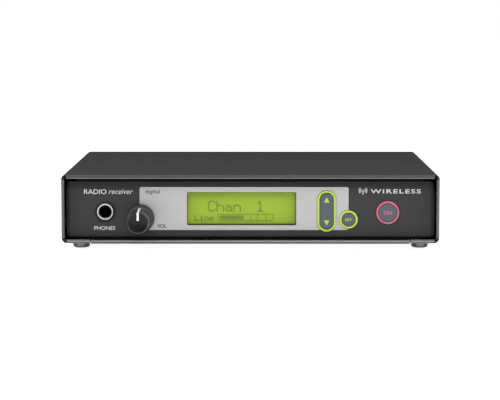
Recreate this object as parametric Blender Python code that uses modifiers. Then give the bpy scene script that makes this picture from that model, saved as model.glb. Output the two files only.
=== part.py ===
# Half-rack wireless receiver unit: a folded sheet cover over a tub-shaped chassis, a recessed
# front panel with display, keys, volume knob and phones jack, and the sockets on the rear.
# All sizes are in millimetres; place() turns them into metres. X runs to the right, Z up from
# the surface the feet stand on, and depth runs back from the folded front edge of the case.
import math

import bmesh
import bpy
from mathutils import Vector

MM = 0.001
GAP = 0.3

# Case
WIDTH = 212.8
TOP_Z = 43.0
LAP_Z = 4.0
FLOOR_Z = 3.7
CASE_DEPTH = 170.0
SHEET = 1.2
CORNER_RADIUS = 3.0
FOLD_RADIUS = 1.5
SIDE_RIM = 1.8
TOP_RIM = 2.3
BOTTOM_RIM = 2.3
SLIT_X = 90.0
SLIT = 0.5
WALL_TOP_Z = 34.0
LEDGE_Z = 6.0
RAIL_FRONT = 15.0
RAIL_BACK = CASE_DEPTH - SHEET - 0.6

# How far the knob stands ahead of the case and the antenna sockets stand behind it
KNOB_REACH = 22.0
SOCKET_REACH = 9.5
FRONT_Y = -(CASE_DEPTH + SOCKET_REACH - KNOB_REACH) / 2

# Feet
FOOT_RADIUS = 4.9
FOOT_X = 96.5
FOOT_INSET = 17.0

# Side screws, where rack ears go
SIDE_SCREW_DEPTHS = {"front": 22.0, "rear": 54.0}
SIDE_SCREW_Z = 23.0
SHANK_RADIUS = 2.0
HEAD_RADIUS = 3.6

# Front panel
PANEL_HALF = 103.3
PANEL_LOW_Z = 7.5
PANEL_HIGH_Z = 38.7
PANEL_FACE = 5.0
PANEL_SHEET = 2.0
PANEL_BACK = PANEL_FACE + PANEL_SHEET
NOTCH_RADIUS = 1.2
FASCIA = {"left": -62.5, "right": 55.35, "low": 11.15, "high": 35.5, "sheet": 0.45, "corner": 1.0}
WINDOW = {"left": -35.85, "right": 25.9, "low": 13.8, "high": 32.65, "corner": 0.8, "lap": 0.6}

# Controls
RING_FACE = 4.2
RING_BACK = 7.4
KEY_FACE = 4.0
FLANGE_FACE = 8.3
FLANGE_BACK = 9.0
BOSS_BACK = 9.4
BOSS_RADIUS = 1.5
PLUNGER_FACE = 9.7
PLUNGER_BACK = 11.4
PLUNGER_RADIUS = 1.6
SWITCH_FACE = 10.6
SWITCH_BACK = 13.7
SWITCH_HOLE_BACK = 12.8
SWITCH_SIDE = 6.0
ROCKER = {"x": 43.0, "z": 21.85, "width": 7.3, "height": 20.0, "lever": 7.0}
ROCKER_RING = {"width": 10.6, "height": 23.3, "hole_width": 7.9, "hole_height": 20.9}
SET_KEY = {"x": 55.4, "z": 17.1, "radius": 3.7, "ring": 5.22, "hole": 4.0, "flange": 4.8}
POWER_KEY = {"x": 77.5, "z": 21.0, "radius": 5.1, "ring": 6.55, "hole": 5.4, "flange": 6.2}

# Volume control
KNOB = {"x": -62.0, "z": 18.0, "face": 5.8, "grip": 6.15, "skirt": 7.9, "length": 26.5}
SHAFT_RADIUS = 3.0
BUSHING_RADIUS = 3.9
POT_BACK = 13.7

# Phones jack
PHONES = {"x": -81.9, "z": 21.6, "bore": 3.2, "ferrule": 4.67, "nut": 5.62}

# Boards
CONTROL_BOARD = {"left": -71.5, "right": 92.0, "low": 8.5, "high": 38.0, "face": 14.0}
MAIN_BOARD = {"half": 98.0, "front": 24.0, "back": 150.0, "low": 10.0}
BOARD_SHEET = 1.6
BOARD_TOP_Z = MAIN_BOARD["low"] + BOARD_SHEET

# Rear panel and its sockets
REAR_FACE = CASE_DEPTH - PANEL_FACE
REAR_SHEET = 1.5
REAR_INSIDE = REAR_FACE - REAR_SHEET
SOCKET_Z = 24.0
BNC_X = 88.0
XLR = {"x": 38.0, "shell": 11.4, "cup": 9.4, "cup_depth": 15.0, "flange": (26.0, 31.0), "pin": 1.2}
LINE_JACK = {"x": 8.0, "bore": 3.2, "nose": 4.6}
DATA_SOCKET = {"x": -24.0, "z": 20.5, "width": 13.6, "height": 12.6}
DC_SOCKET = {"x": -52.0, "z": 20.0, "width": 10.0, "height": 12.0, "bore": 3.3}
HOOK = {"x": -66.0, "z": 20.0, "wire": 1.0, "half_height": 4.5, "reach": 7.0}
REAR_SCREW = {"x": 99.0, "z": 34.5, "shank": 1.5, "head": 2.8}

# Directions in which the local Z axis of a turned piece can point
FORWARD = (math.pi / 2, 0, 0)
BACKWARD = (-math.pi / 2, 0, 0)
UPWARD = (0, 0, 0)
LEFTWARD = (0, -math.pi / 2, 0)
RIGHTWARD = (0, math.pi / 2, 0)

# Base colour, roughness and metallic value of each finish
FINISHES = {
    "dark_paint": ((0.055, 0.055, 0.058), 0.55, 0.0),
    "panel_paint": ((0.05, 0.05, 0.052), 0.5, 0.0),
    "silver": ((0.52, 0.52, 0.53), 0.35, 0.7),
    "clear": ((0.7, 0.8, 0.3), 0.1, 0.0),
    "lcd_green": ((0.3, 0.46, 0.04), 0.3, 0.0),
    "key_grey": ((0.12, 0.13, 0.16), 0.5, 0.0),
    "lime": ((0.5, 0.68, 0.08), 0.4, 0.0),
    "pink": ((0.68, 0.15, 0.24), 0.4, 0.0),
    "black_plastic": ((0.02, 0.02, 0.022), 0.4, 0.0),
    "rubber": ((0.02, 0.02, 0.02), 0.6, 0.0),
    "chrome": ((0.7, 0.7, 0.7), 0.15, 1.0),
    "steel": ((0.45, 0.45, 0.46), 0.3, 1.0),
    "board_green": ((0.02, 0.12, 0.04), 0.4, 0.0),
    "ribbon_grey": ((0.35, 0.35, 0.37), 0.5, 0.0),
    "white_plastic": ((0.7, 0.7, 0.66), 0.4, 0.0),
    "blue_sleeve": ((0.03, 0.06, 0.2), 0.3, 0.0),
}


def clear_scene():
    for piece in list(bpy.data.objects):
        bpy.data.objects.remove(piece, do_unlink=True)


def new_collection(name):
    collection = bpy.data.collections.new(name)
    bpy.context.scene.collection.children.link(collection)
    return collection


def spot(x, depth, z):
    return Vector((x, FRONT_Y + depth, z))


def finish_material(name, finish):
    colour, roughness, metallic = FINISHES[finish]
    material = bpy.data.materials.new(name)
    material.use_nodes = True
    shader = material.node_tree.nodes["Principled BSDF"]
    shader.inputs["Base Color"].default_value = (*colour, 1.0)
    shader.inputs["Roughness"].default_value = roughness
    shader.inputs["Metallic"].default_value = metallic
    material.diffuse_color = (*colour, 1.0)
    return material


def place(name, bm, centre=(0, 0, 0), rotation=(0, 0, 0), finish=None):
    # A piece without a finish is a cutter or a shape to be joined, and is not a node.
    bmesh.ops.scale(bm, vec=(MM, MM, MM), verts=bm.verts)
    mesh = bpy.data.meshes.new(name)
    bm.to_mesh(mesh)
    bm.free()
    piece = bpy.data.objects.new(name, mesh)
    piece.location = Vector(centre) * MM
    piece.rotation_euler = rotation
    if finish is None:
        piece.hide_render = True
        piece.display_type = "WIRE"
        tools.objects.link(piece)
    else:
        mesh.materials.append(finish_material(name, finish))
        mesh.shade_smooth()
        mesh.set_sharp_from_angle(angle=math.radians(35))
        parts.objects.link(piece)
    return piece


def combine(piece, tool, operation="DIFFERENCE"):
    change = piece.modifiers.new(tool.name, "BOOLEAN")
    change.operation = operation
    change.solver = "EXACT"
    change.object = tool


def cube_mesh(bm, low, high):
    low, high = Vector(low), Vector(high)
    made = bmesh.ops.create_cube(bm, size=1.0)["verts"]
    bmesh.ops.scale(bm, vec=high - low, verts=made)
    bmesh.ops.translate(bm, vec=(low + high) / 2, verts=made)
    return made


def round_edges(bm, axis, radius, steps):
    # Rounds the edges that run along one axis.
    edges = []
    for edge in bm.edges:
        run = (edge.verts[1].co - edge.verts[0].co).normalized()
        if abs(run[axis]) > 0.999:
            edges.append(edge)
    bmesh.ops.bevel(
        bm, geom=edges, offset=radius, segments=steps, profile=0.5, affect="EDGES"
    )


def box(name, low, high, finish=None, corner=0.0, axis=1, steps=3):
    # low and high are (x, depth, z) corners.
    bm = bmesh.new()
    low, high = spot(*low), spot(*high)
    middle = (low + high) / 2
    cube_mesh(bm, low - middle, high - middle)
    if corner:
        round_edges(bm, axis, corner, steps)
    return place(name, bm, middle, finish=finish)


def rod(name, radius, start, end, rotation=FORWARD, finish=None, steps=24, end_radius=None):
    # A straight rod or cone from start to end, both (x, depth, z); its local Z is rotation's.
    bm = bmesh.new()
    start, end = spot(*start), spot(*end)
    bmesh.ops.create_cone(
        bm,
        cap_ends=True,
        segments=steps,
        radius1=radius,
        radius2=radius if end_radius is None else end_radius,
        depth=(end - start).length,
    )
    return place(name, bm, (start + end) / 2, rotation, finish)


def turned(name, profile, centre, rotation, finish=None, closed=False, steps=24):
    # profile holds (radius, height) points down the outer side, then up the inner one.
    bm = bmesh.new()
    points = [bm.verts.new((radius, 0, height)) for radius, height in profile]
    pairs = list(zip(points, points[1:]))
    if closed:
        pairs.append((points[-1], points[0]))
    for pair in pairs:
        bm.edges.new(pair)
    piece = place(name, bm, spot(*centre), rotation, finish)
    turn = piece.modifiers.new("turn", "SCREW")
    turn.steps = steps
    turn.render_steps = steps
    turn.use_merge_vertices = True
    turn.merge_threshold = 0.01 * MM
    return piece


def prism(name, outline, front, back, finish=None):
    # An outline of (x, z) points, extruded from one depth to another.
    bm = bmesh.new()
    corners = [bm.verts.new(spot(x, front, z)) for x, z in outline]
    face = bm.faces.new(corners)
    grown = bmesh.ops.extrude_face_region(bm, geom=[face])["geom"]
    moved = [item for item in grown if isinstance(item, bmesh.types.BMVert)]
    bmesh.ops.translate(bm, vec=(0, back - front, 0), verts=moved)
    bmesh.ops.recalc_face_normals(bm, faces=bm.faces)
    return place(name, bm, finish=finish)


def stadium(name, centre_x, centre_z, width, height, front, back, finish=None, steps=32):
    # A slot shape with round ends: a round rod whose upper and lower halves are drawn apart.
    bm = bmesh.new()
    radius = width / 2 / math.cos(math.pi / steps)
    bmesh.ops.create_cone(
        bm, cap_ends=True, segments=steps, radius1=radius, radius2=radius, depth=back - front
    )
    turn = math.pi / steps
    for point in bm.verts:
        x = point.co.x * math.cos(turn) - point.co.y * math.sin(turn)
        z = point.co.x * math.sin(turn) + point.co.y * math.cos(turn)
        shift = math.copysign((height - width) / 2, z)
        point.co = Vector((x, -point.co.z, z + shift))
    bmesh.ops.recalc_face_normals(bm, faces=bm.faces)
    return place(name, bm, spot(centre_x, (front + back) / 2, centre_z), finish=finish)


def hex_nut(name, x, z, front, back, corner, hole):
    nut = rod(name, corner, (x, back, z), (x, front, z), finish="steel", steps=6)
    bore = rod(f"{name}_bore", hole, (x, back + 1, z), (x, front - 1, z))
    combine(nut, bore)


def joint_empty(name, x, depth, z):
    empty = bpy.data.objects.new(name, None)
    empty.location = spot(x, depth, z) * MM
    empty.empty_display_size = 5 * MM
    parts.objects.link(empty)
    return empty


def hang(empty, *pieces):
    for piece in pieces:
        piece.parent = empty
        piece.location = piece.location - empty.location


def arc(centre_x, centre_z, radius, first, last, steps=5):
    # Points from the first angle to the last, in degrees from +X towards +Z.
    points = []
    for step in range(steps + 1):
        angle = math.radians(first + (last - first) * step / steps)
        points.append((centre_x + radius * math.cos(angle), centre_z + radius * math.sin(angle)))
    return points


def folded_sheet(name, outline, rims, finish):
    # The outer surface of a sheet that runs from the front to the back of the case along an
    # (x, z) outline. rims gives, for each straight stretch with a folded edge, the way the
    # edge folds and how far: the sheet bends through 90 degrees and runs on as a narrow rim.
    bm = bmesh.new()
    front, back = FOLD_RADIUS, CASE_DEPTH - FOLD_RADIUS
    points = [bm.verts.new(spot(x, front, z)) for x, z in outline]
    edges = [bm.edges.new(pair) for pair in zip(points, points[1:])]
    grown = bmesh.ops.extrude_edge_only(bm, edges=edges)["geom"]
    far = [item for item in grown if isinstance(item, bmesh.types.BMVert)]
    bmesh.ops.translate(bm, vec=(0, back - front, 0), verts=far)
    for low, high, inward, depth in rims:
        for outward in (Vector((0, -1, 0)), Vector((0, 1, 0))):
            fold_edge(bm, low, high, Vector(inward), depth, outward)
    bmesh.ops.recalc_face_normals(bm, faces=bm.faces)
    middle = spot(0, CASE_DEPTH / 2, (TOP_Z + LAP_Z) / 2)
    largest = max(bm.faces, key=lambda face: face.calc_area())
    if largest.normal.dot(largest.calc_center_median() - middle) < 0:
        bmesh.ops.reverse_faces(bm, faces=bm.faces)
    piece = place(name, bm, finish=finish)
    wall = piece.modifiers.new("wall", "SOLIDIFY")
    wall.thickness = SHEET * MM
    wall.offset = -1
    wall.use_even_offset = True
    return piece


def fold_edge(bm, low, high, inward, depth, outward):
    # Bends the edge between two (x, z) points of the front or back end inwards.
    end = FOLD_RADIUS if outward.y < 0 else CASE_DEPTH - FOLD_RADIUS
    ends = [spot(low[0], end, low[1]), spot(high[0], end, high[1])]
    chosen = None
    for edge in bm.edges:
        first, second = edge.verts[0].co, edge.verts[1].co
        if min((first - ends[0]).length, (first - ends[1]).length) > 0.01:
            continue
        if min((second - ends[0]).length, (second - ends[1]).length) > 0.01:
            continue
        chosen = edge
    bend = bmesh.ops.spin(
        bm,
        geom=[chosen, *chosen.verts],
        cent=ends[0] + inward * FOLD_RADIUS,
        axis=(-inward).cross(outward),
        dvec=(0, 0, 0),
        angle=math.pi / 2,
        steps=3,
        use_duplicate=False,
    )["geom_last"]
    last = [item for item in bend if isinstance(item, bmesh.types.BMEdge)]
    grown = bmesh.ops.extrude_edge_only(bm, edges=last)["geom"]
    moved = [item for item in grown if isinstance(item, bmesh.types.BMVert)]
    bmesh.ops.translate(bm, vec=inward * (depth - FOLD_RADIUS), verts=moved)


def make_cover():
    half = WIDTH / 2
    inner = half - CORNER_RADIUS
    low = LAP_Z + CORNER_RADIUS
    high = TOP_Z - CORNER_RADIUS
    lap_edge = SLIT_X + SLIT / 2
    outline = [(-lap_edge, LAP_Z)]
    outline += arc(-inner, low, CORNER_RADIUS, 270, 180)
    outline += arc(-inner, high, CORNER_RADIUS, 180, 90)
    outline += arc(inner, high, CORNER_RADIUS, 90, 0)
    outline += arc(inner, low, CORNER_RADIUS, 0, -90)
    outline.append((lap_edge, LAP_Z))
    rims = [
        ((-lap_edge, LAP_Z), (-inner, LAP_Z), (0, 0, 1), BOTTOM_RIM),
        ((-half, low), (-half, high), (1, 0, 0), SIDE_RIM),
        ((-inner, TOP_Z), (inner, TOP_Z), (0, 0, -1), TOP_RIM),
        ((half, low), (half, high), (-1, 0, 0), SIDE_RIM),
        ((inner, LAP_Z), (lap_edge, LAP_Z), (0, 0, 1), BOTTOM_RIM),
    ]
    cover = folded_sheet("case_cover", outline, rims, "dark_paint")
    for side, rotation in ((-1, LEFTWARD), (1, RIGHTWARD)):
        for place_name, depth in SIDE_SCREW_DEPTHS.items():
            sink = rod(
                f"countersink_{side}_{place_name}",
                HEAD_RADIUS - SHEET * 2 + GAP,
                (side * (half - 3 * SHEET), depth, SIDE_SCREW_Z),
                (side * (half + SHEET), depth, SIDE_SCREW_Z),
                rotation,
                steps=24,
                end_radius=HEAD_RADIUS + SHEET + GAP,
            )
            combine(cover, sink)


def rail_outline(side):
    inside = SLIT_X - SLIT / 2 - 2
    wall = WIDTH / 2 - SHEET - 0.5
    chamfer = 1.0
    points = [
        (inside, FLOOR_Z + SHEET / 2),
        (inside + SHEET, FLOOR_Z + SHEET / 2),
        (inside + SHEET, LEDGE_Z),
        (wall - chamfer, LEDGE_Z),
        (wall, LEDGE_Z + chamfer),
        (wall, WALL_TOP_Z),
        (wall - SHEET, WALL_TOP_Z),
        (wall - SHEET, LEDGE_Z + SHEET),
        (inside, LEDGE_Z + SHEET),
    ]
    return [(side * x, z) for x, z in points]


def standoff_spots():
    board = MAIN_BOARD
    return [
        (side * (board["half"] - 18), depth)
        for side in (-1, 1)
        for depth in (board["front"] + 6, board["back"] - 8)
    ]


def make_chassis():
    half = SLIT_X - SLIT / 2
    ends = ((-half, FLOOR_Z), (half, FLOOR_Z))
    chassis = folded_sheet("chassis", ends, [(*ends, (0, 0, 1), BOTTOM_RIM)], "dark_paint")
    back = REAR_INSIDE - 0.5
    for side in (-1, 1):
        rail = prism(f"rail_{side}", rail_outline(side), RAIL_FRONT, RAIL_BACK)
        combine(chassis, rail, "UNION")
        x = side * REAR_SCREW["x"]
        tab_low = (x - 5.0, back - SHEET, REAR_SCREW["z"] - 6)
        tab_high = (x + 5.0, back, REAR_SCREW["z"] + 4)
        combine(chassis, box(f"tab_{side}", tab_low, tab_high), "UNION")
    for number, (x, depth) in enumerate(standoff_spots()):
        low = (x, depth, FLOOR_Z + SHEET / 2)
        high = (x, depth, MAIN_BOARD["low"] - GAP)
        combine(chassis, rod(f"standoff_{number}", 3.0, low, high, UPWARD, steps=16), "UNION")
    for side in (-1, 1):
        x = side * REAR_SCREW["x"]
        hole = rod(
            f"tab_hole_{side}",
            REAR_SCREW["shank"] + GAP,
            (x, back - 4, REAR_SCREW["z"]),
            (x, back + 4, REAR_SCREW["z"]),
            steps=16,
        )
        combine(chassis, hole)
    for place_name, depth in SIDE_SCREW_DEPTHS.items():
        for side in (-1, 1):
            hole = rod(
                f"wall_hole_{side}_{place_name}",
                SHANK_RADIUS + GAP,
                (side * (WIDTH / 2 - 8), depth, SIDE_SCREW_Z),
                (side * (WIDTH / 2 - 0.5), depth, SIDE_SCREW_Z),
                RIGHTWARD,
                steps=16,
            )
            combine(chassis, hole)


def cross_recess(name, bm_low, bm_high, low, high, piece):
    combine(piece, box(f"{name}_recess_a", bm_low, bm_high))
    combine(piece, box(f"{name}_recess_b", low, high))


def make_side_screws():
    outer = WIDTH / 2 - 0.05
    length = 7.0
    for side, side_name, rotation in ((-1, "left", LEFTWARD), (1, "right", RIGHTWARD)):
        for place_name, depth in SIDE_SCREW_DEPTHS.items():
            name = f"side_screw_{side_name}_{place_name}"
            sunk = HEAD_RADIUS - SHANK_RADIUS
            profile = [
                (0, 0),
                (HEAD_RADIUS, 0),
                (SHANK_RADIUS, -sunk),
                (SHANK_RADIUS, -length + 0.5),
                (SHANK_RADIUS - 0.5, -length),
                (0, -length),
            ]
            screw = turned(
                name, profile, (side * outer, depth, SIDE_SCREW_Z), rotation, "steel", steps=16
            )
            near, far = sorted((side * (outer - 1.0), side * (outer + 1.0)))
            cross_recess(
                name,
                (near, depth - 1.7, SIDE_SCREW_Z - 0.35),
                (far, depth + 1.7, SIDE_SCREW_Z + 0.35),
                (near, depth - 0.35, SIDE_SCREW_Z - 1.7),
                (far, depth + 0.35, SIDE_SCREW_Z + 1.7),
                screw,
            )


def make_feet():
    height = LAP_Z - 0.2
    profile = [(0, 0), (FOOT_RADIUS - 0.3, 0), (FOOT_RADIUS, -0.4), (FOOT_RADIUS, -height + 1.4)]
    rounding = arc(FOOT_RADIUS - 1.4, -height + 1.4, 1.4, 0, -90, 3)
    profile += rounding[1:]
    profile.append((0, -height))
    spots = {"front": FOOT_INSET, "rear": CASE_DEPTH - FOOT_INSET}
    for side, side_name in ((-1, "left"), (1, "right")):
        for place_name, depth in spots.items():
            centre = (side * FOOT_X, depth, height)
            turned(
                f"foot_{place_name}_{side_name}", profile, centre, UPWARD, "rubber", steps=20
            )


def ring_hole(name, key, margin, front, back):
    return rod(name, key["ring"] + margin, (key["x"], back, key["z"]), (key["x"], front, key["z"]), steps=32)


def make_front_panel():
    face, back = PANEL_FACE, PANEL_BACK
    low = (-PANEL_HALF, face, PANEL_LOW_Z)
    high = (PANEL_HALF, back, PANEL_HIGH_Z)
    panel = box("front_panel", low, high, "panel_paint")
    margin = 0.12
    pocket = box(
        "fascia_pocket",
        (FASCIA["left"] - margin, face - 1, FASCIA["low"] - margin),
        (FASCIA["right"] + margin, face + FASCIA["sheet"] + margin, FASCIA["high"] + margin),
        corner=FASCIA["corner"],
    )
    combine(panel, pocket)
    lap = WINDOW["lap"]
    opening = box(
        "window_opening",
        (WINDOW["left"] - lap, face - 1, WINDOW["low"] - lap),
        (WINDOW["right"] + lap, back + 1, WINDOW["high"] + lap),
        corner=WINDOW["corner"],
    )
    combine(panel, opening)
    slot = stadium(
        "rocker_hole",
        ROCKER["x"],
        ROCKER["z"],
        ROCKER_RING["width"] + 2 * GAP,
        ROCKER_RING["height"] + 2 * GAP,
        face - 1,
        back + 1,
    )
    combine(panel, slot)
    for name, key in (("set_hole", SET_KEY), ("power_hole", POWER_KEY)):
        combine(panel, ring_hole(name, key, GAP, face - 1, back + 1))
    for name, spot_of, radius in (
        ("pot_hole", KNOB, BUSHING_RADIUS + GAP),
        ("phones_hole", PHONES, PHONES["ferrule"] + GAP),
    ):
        x, z = spot_of["x"], spot_of["z"]
        combine(panel, rod(name, radius, (x, back + 1, z), (x, face - 1, z), steps=32))
    for number, (x, z) in enumerate(
        (x, z) for x in (-PANEL_HALF, PANEL_HALF) for z in (PANEL_LOW_Z, PANEL_HIGH_Z)
    ):
        notch = rod(f"notch_{number}", NOTCH_RADIUS, (x, back + 1, z), (x, face - 1, z), steps=16)
        combine(panel, notch)


def make_fascia():
    face = PANEL_FACE
    back = face + FASCIA["sheet"]
    fascia = box(
        "silver_fascia",
        (FASCIA["left"], face, FASCIA["low"]),
        (FASCIA["right"], back, FASCIA["high"]),
        "silver",
        corner=FASCIA["corner"],
    )
    opening = box(
        "fascia_window",
        (WINDOW["left"], face - 1, WINDOW["low"]),
        (WINDOW["right"], back + 1, WINDOW["high"]),
        corner=WINDOW["corner"],
    )
    combine(fascia, opening)
    slot = stadium(
        "fascia_rocker_hole",
        ROCKER["x"],
        ROCKER["z"],
        ROCKER_RING["width"] + GAP,
        ROCKER_RING["height"] + GAP,
        face - 1,
        back + 1,
    )
    combine(fascia, slot)
    combine(fascia, ring_hole("fascia_set_hole", SET_KEY, GAP / 2, face - 1, back + 1))
    x, z = KNOB["x"], KNOB["z"]
    clearance = rod("fascia_nut_hole", 6.6, (x, back + 1, z), (x, face - 1, z), steps=32)
    combine(fascia, clearance)


def make_display():
    inset = 0.15
    lap = WINDOW["lap"] - inset
    front = PANEL_FACE + FASCIA["sheet"] + 0.12
    box(
        "display_window",
        (WINDOW["left"] - lap, front, WINDOW["low"] - lap),
        (WINDOW["right"] + lap, PANEL_BACK - 0.1, WINDOW["high"] + lap),
        "clear",
        corner=WINDOW["corner"],
    )
    bezel_face, bezel_back = PANEL_BACK + GAP, 13.4
    rim = 5.5
    bezel = box(
        "lcd_bezel",
        (WINDOW["left"] - rim, bezel_face, WINDOW["low"] - 3.6),
        (WINDOW["right"] + rim, bezel_back, WINDOW["high"] + 3.6),
        "steel",
        corner=1.0,
    )
    view = 0.9
    cell = box(
        "bezel_cell",
        (WINDOW["left"] - view, bezel_face - 1, WINDOW["low"] - view),
        (WINDOW["right"] + view, bezel_back - 1.4, WINDOW["high"] + view),
    )
    combine(bezel, cell)
    side = view - GAP
    box(
        "lcd_glass",
        (WINDOW["left"] - side, bezel_face + 0.5, WINDOW["low"] - side),
        (WINDOW["right"] + side, bezel_face + 2.6, WINDOW["high"] + side),
        "lcd_green",
    )


def key_profile(radius, flange):
    # Seen from the pivot depth FLANGE_BACK: cap, neck, retaining flange and boss.
    front = FLANGE_BACK - KEY_FACE
    step = FLANGE_BACK - FLANGE_FACE
    return [
        (0, front),
        (radius - 0.45, front),
        (radius - 0.12, front - 0.13),
        (radius, front - 0.45),
        (radius, step),
        (flange, step),
        (flange, 0),
        (BOSS_RADIUS, 0),
        (BOSS_RADIUS, FLANGE_BACK - BOSS_BACK),
        (0, FLANGE_BACK - BOSS_BACK),
    ]


def make_switch(name, x, z):
    side = SWITCH_SIDE / 2
    body = box(
        f"{name}_switch",
        (x - side, SWITCH_FACE, z - side),
        (x + side, SWITCH_BACK, z + side),
        "black_plastic",
        corner=0.5,
        steps=2,
    )
    hole = rod(
        f"{name}_switch_hole",
        PLUNGER_RADIUS + GAP,
        (x, SWITCH_HOLE_BACK, z),
        (x, SWITCH_FACE - 1, z),
        steps=16,
    )
    combine(body, hole)
    return rod(
        f"{name}_plunger",
        PLUNGER_RADIUS,
        (x, PLUNGER_BACK, z),
        (x, PLUNGER_FACE, z),
        finish="white_plastic",
        steps=16,
    )


def make_round_key(name, key, ring_finish):
    x, z = key["x"], key["z"]
    cap = turned(
        f"{name}_button",
        key_profile(key["radius"], key["flange"]),
        (x, FLANGE_BACK, z),
        FORWARD,
        "key_grey",
    )
    depth = RING_BACK - RING_FACE
    outer, inner = key["ring"], key["hole"]
    ring = [
        (outer - 0.7, depth),
        (outer - 0.2, depth - 0.2),
        (outer, depth - 0.7),
        (outer, 0),
        (inner, 0),
        (inner, depth - 0.3),
        (inner + 0.3, depth),
    ]
    turned(f"{name}_ring", ring, (x, RING_BACK, z), FORWARD, ring_finish, closed=True, steps=28)
    plunger = make_switch(name, x, z)
    hang(joint_empty(f"{name}_travel", x, FLANGE_BACK, z), cap, plunger)


def make_rocker():
    x, z = ROCKER["x"], ROCKER["z"]
    ring = stadium(
        "rocker_ring",
        x,
        z,
        ROCKER_RING["width"],
        ROCKER_RING["height"],
        RING_FACE,
        RING_BACK,
        "lime",
    )
    hole = stadium(
        "rocker_ring_hole",
        x,
        z,
        ROCKER_RING["hole_width"],
        ROCKER_RING["hole_height"],
        RING_FACE - 1,
        RING_BACK + 1,
    )
    combine(ring, hole)
    key = stadium(
        "rocker_key", x, z, ROCKER["width"], ROCKER["height"], KEY_FACE, FLANGE_FACE + 0.3, "key_grey"
    )
    flange = stadium(
        "rocker_flange",
        x,
        z,
        ROCKER["width"] + 2.2,
        ROCKER["height"] + 2.0,
        FLANGE_FACE,
        FLANGE_BACK,
    )
    combine(key, flange, "UNION")
    pivot = joint_empty("rocker_axis", x, FLANGE_BACK, z)
    for name, way in (("up", 1), ("down", -1)):
        height = z + way * ROCKER["lever"]
        boss = rod(
            f"{name}_boss",
            BOSS_RADIUS,
            (x, BOSS_BACK, height),
            (x, FLANGE_FACE + 0.3, height),
            steps=16,
        )
        combine(key, boss, "UNION")
        plunger = make_switch(name, x, height)
        hang(joint_empty(f"{name}_travel", x, PLUNGER_FACE, height), plunger)
    hang(pivot, key)


def make_volume_control():
    x, z = KNOB["x"], KNOB["z"]
    length = KNOB["length"]
    recess_depth, bore_top = 3.2, 17.0
    face, grip, skirt = KNOB["face"], KNOB["grip"], KNOB["skirt"]
    profile = [
        (0, length),
        (face - 0.45, length),
        (face, length - 0.45),
        (grip, length - 20.0),
        (grip + 0.25, length - 21.6),
        (grip + 0.9, length - 22.7),
        (skirt - 0.3, length - 23.4),
        (skirt, length - 23.9),
        (skirt, 0),
        (skirt - 0.9, 0),
        (skirt - 0.9, recess_depth - 0.8),
        (SHAFT_RADIUS + GAP, recess_depth - 0.8),
        (SHAFT_RADIUS + GAP, bore_top),
        (0, bore_top),
    ]
    knob_back = PANEL_FACE - 0.5
    knob = turned(
        "volume_knob", profile, (x, knob_back, z), FORWARD, "black_plastic", steps=32
    )
    shaft = rod(
        "pot_shaft",
        SHAFT_RADIUS,
        (x, POT_BACK - 2.0, z),
        (x, knob_back - bore_top + GAP, z),
        finish="steel",
    )
    hang(joint_empty("volume_axis", x, knob_back, z), knob, shaft)
    nut_front = PANEL_FACE - 2.2
    pot = box(
        "volume_pot",
        (x - 5.5, PANEL_BACK + GAP, z - 6.0),
        (x + 5.5, POT_BACK, z + 6.0),
        "steel",
        corner=0.8,
        steps=2,
    )
    bushing = rod(
        "bushing", BUSHING_RADIUS, (x, PANEL_BACK + 1, z), (x, nut_front - 0.1, z)
    )
    combine(pot, bushing, "UNION")
    bore = rod(
        "pot_bore",
        SHAFT_RADIUS + GAP,
        (x, POT_BACK - 1.5, z),
        (x, nut_front - 2, z),
    )
    combine(pot, bore)
    hex_nut("pot_nut", x, z, nut_front, PANEL_FACE - 0.25, 5.9, BUSHING_RADIUS + GAP)


def make_phones_jack():
    x, z = PHONES["x"], PHONES["z"]
    bore, ferrule, nut = PHONES["bore"], PHONES["ferrule"], PHONES["nut"]
    front, inside = 3.5, 9.3
    length = inside - front
    sleeve = [
        (ferrule - 0.75, length),
        (ferrule - 0.2, length - 0.25),
        (ferrule, length - 0.8),
        (ferrule, 0),
        (bore, 0),
        (bore, length - 0.5),
        (bore + 0.25, length - 0.15),
    ]
    turned(
        "phones_ferrule", sleeve, (x, inside, z), FORWARD, "chrome", closed=True, steps=28
    )
    hole = ferrule + GAP / 2
    washer = [(nut - 0.25, 0.9), (nut, 0.65), (nut, 0), (hole, 0), (hole, 0.9)]
    turned(
        "phones_nut", washer, (x, PANEL_FACE - 0.1, z), FORWARD, "black_plastic", closed=True, steps=28
    )
    socket_front, socket_back = PANEL_BACK + GAP, 36.0
    socket = box(
        "phones_jack",
        (x - 8.0, socket_front, z - 7.2),
        (x + 8.0, socket_back, z + 7.2),
        "black_plastic",
        corner=0.8,
        steps=2,
    )
    seat = rod("phones_seat", ferrule + GAP, (x, inside + GAP, z), (x, socket_front - 1, z))
    combine(socket, seat)
    combine(socket, rod("phones_bore", bore, (x, socket_back - 2, z), (x, socket_front, z)))


def make_boards():
    face = CONTROL_BOARD["face"]
    box(
        "control_board",
        (CONTROL_BOARD["left"], face, CONTROL_BOARD["low"]),
        (CONTROL_BOARD["right"], face + BOARD_SHEET, CONTROL_BOARD["high"]),
        "board_green",
    )
    half, low = MAIN_BOARD["half"], MAIN_BOARD["low"]
    box(
        "main_board",
        (-half, MAIN_BOARD["front"], low),
        (half, MAIN_BOARD["back"], BOARD_TOP_Z),
        "board_green",
        corner=2.0,
        axis=2,
    )


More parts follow.
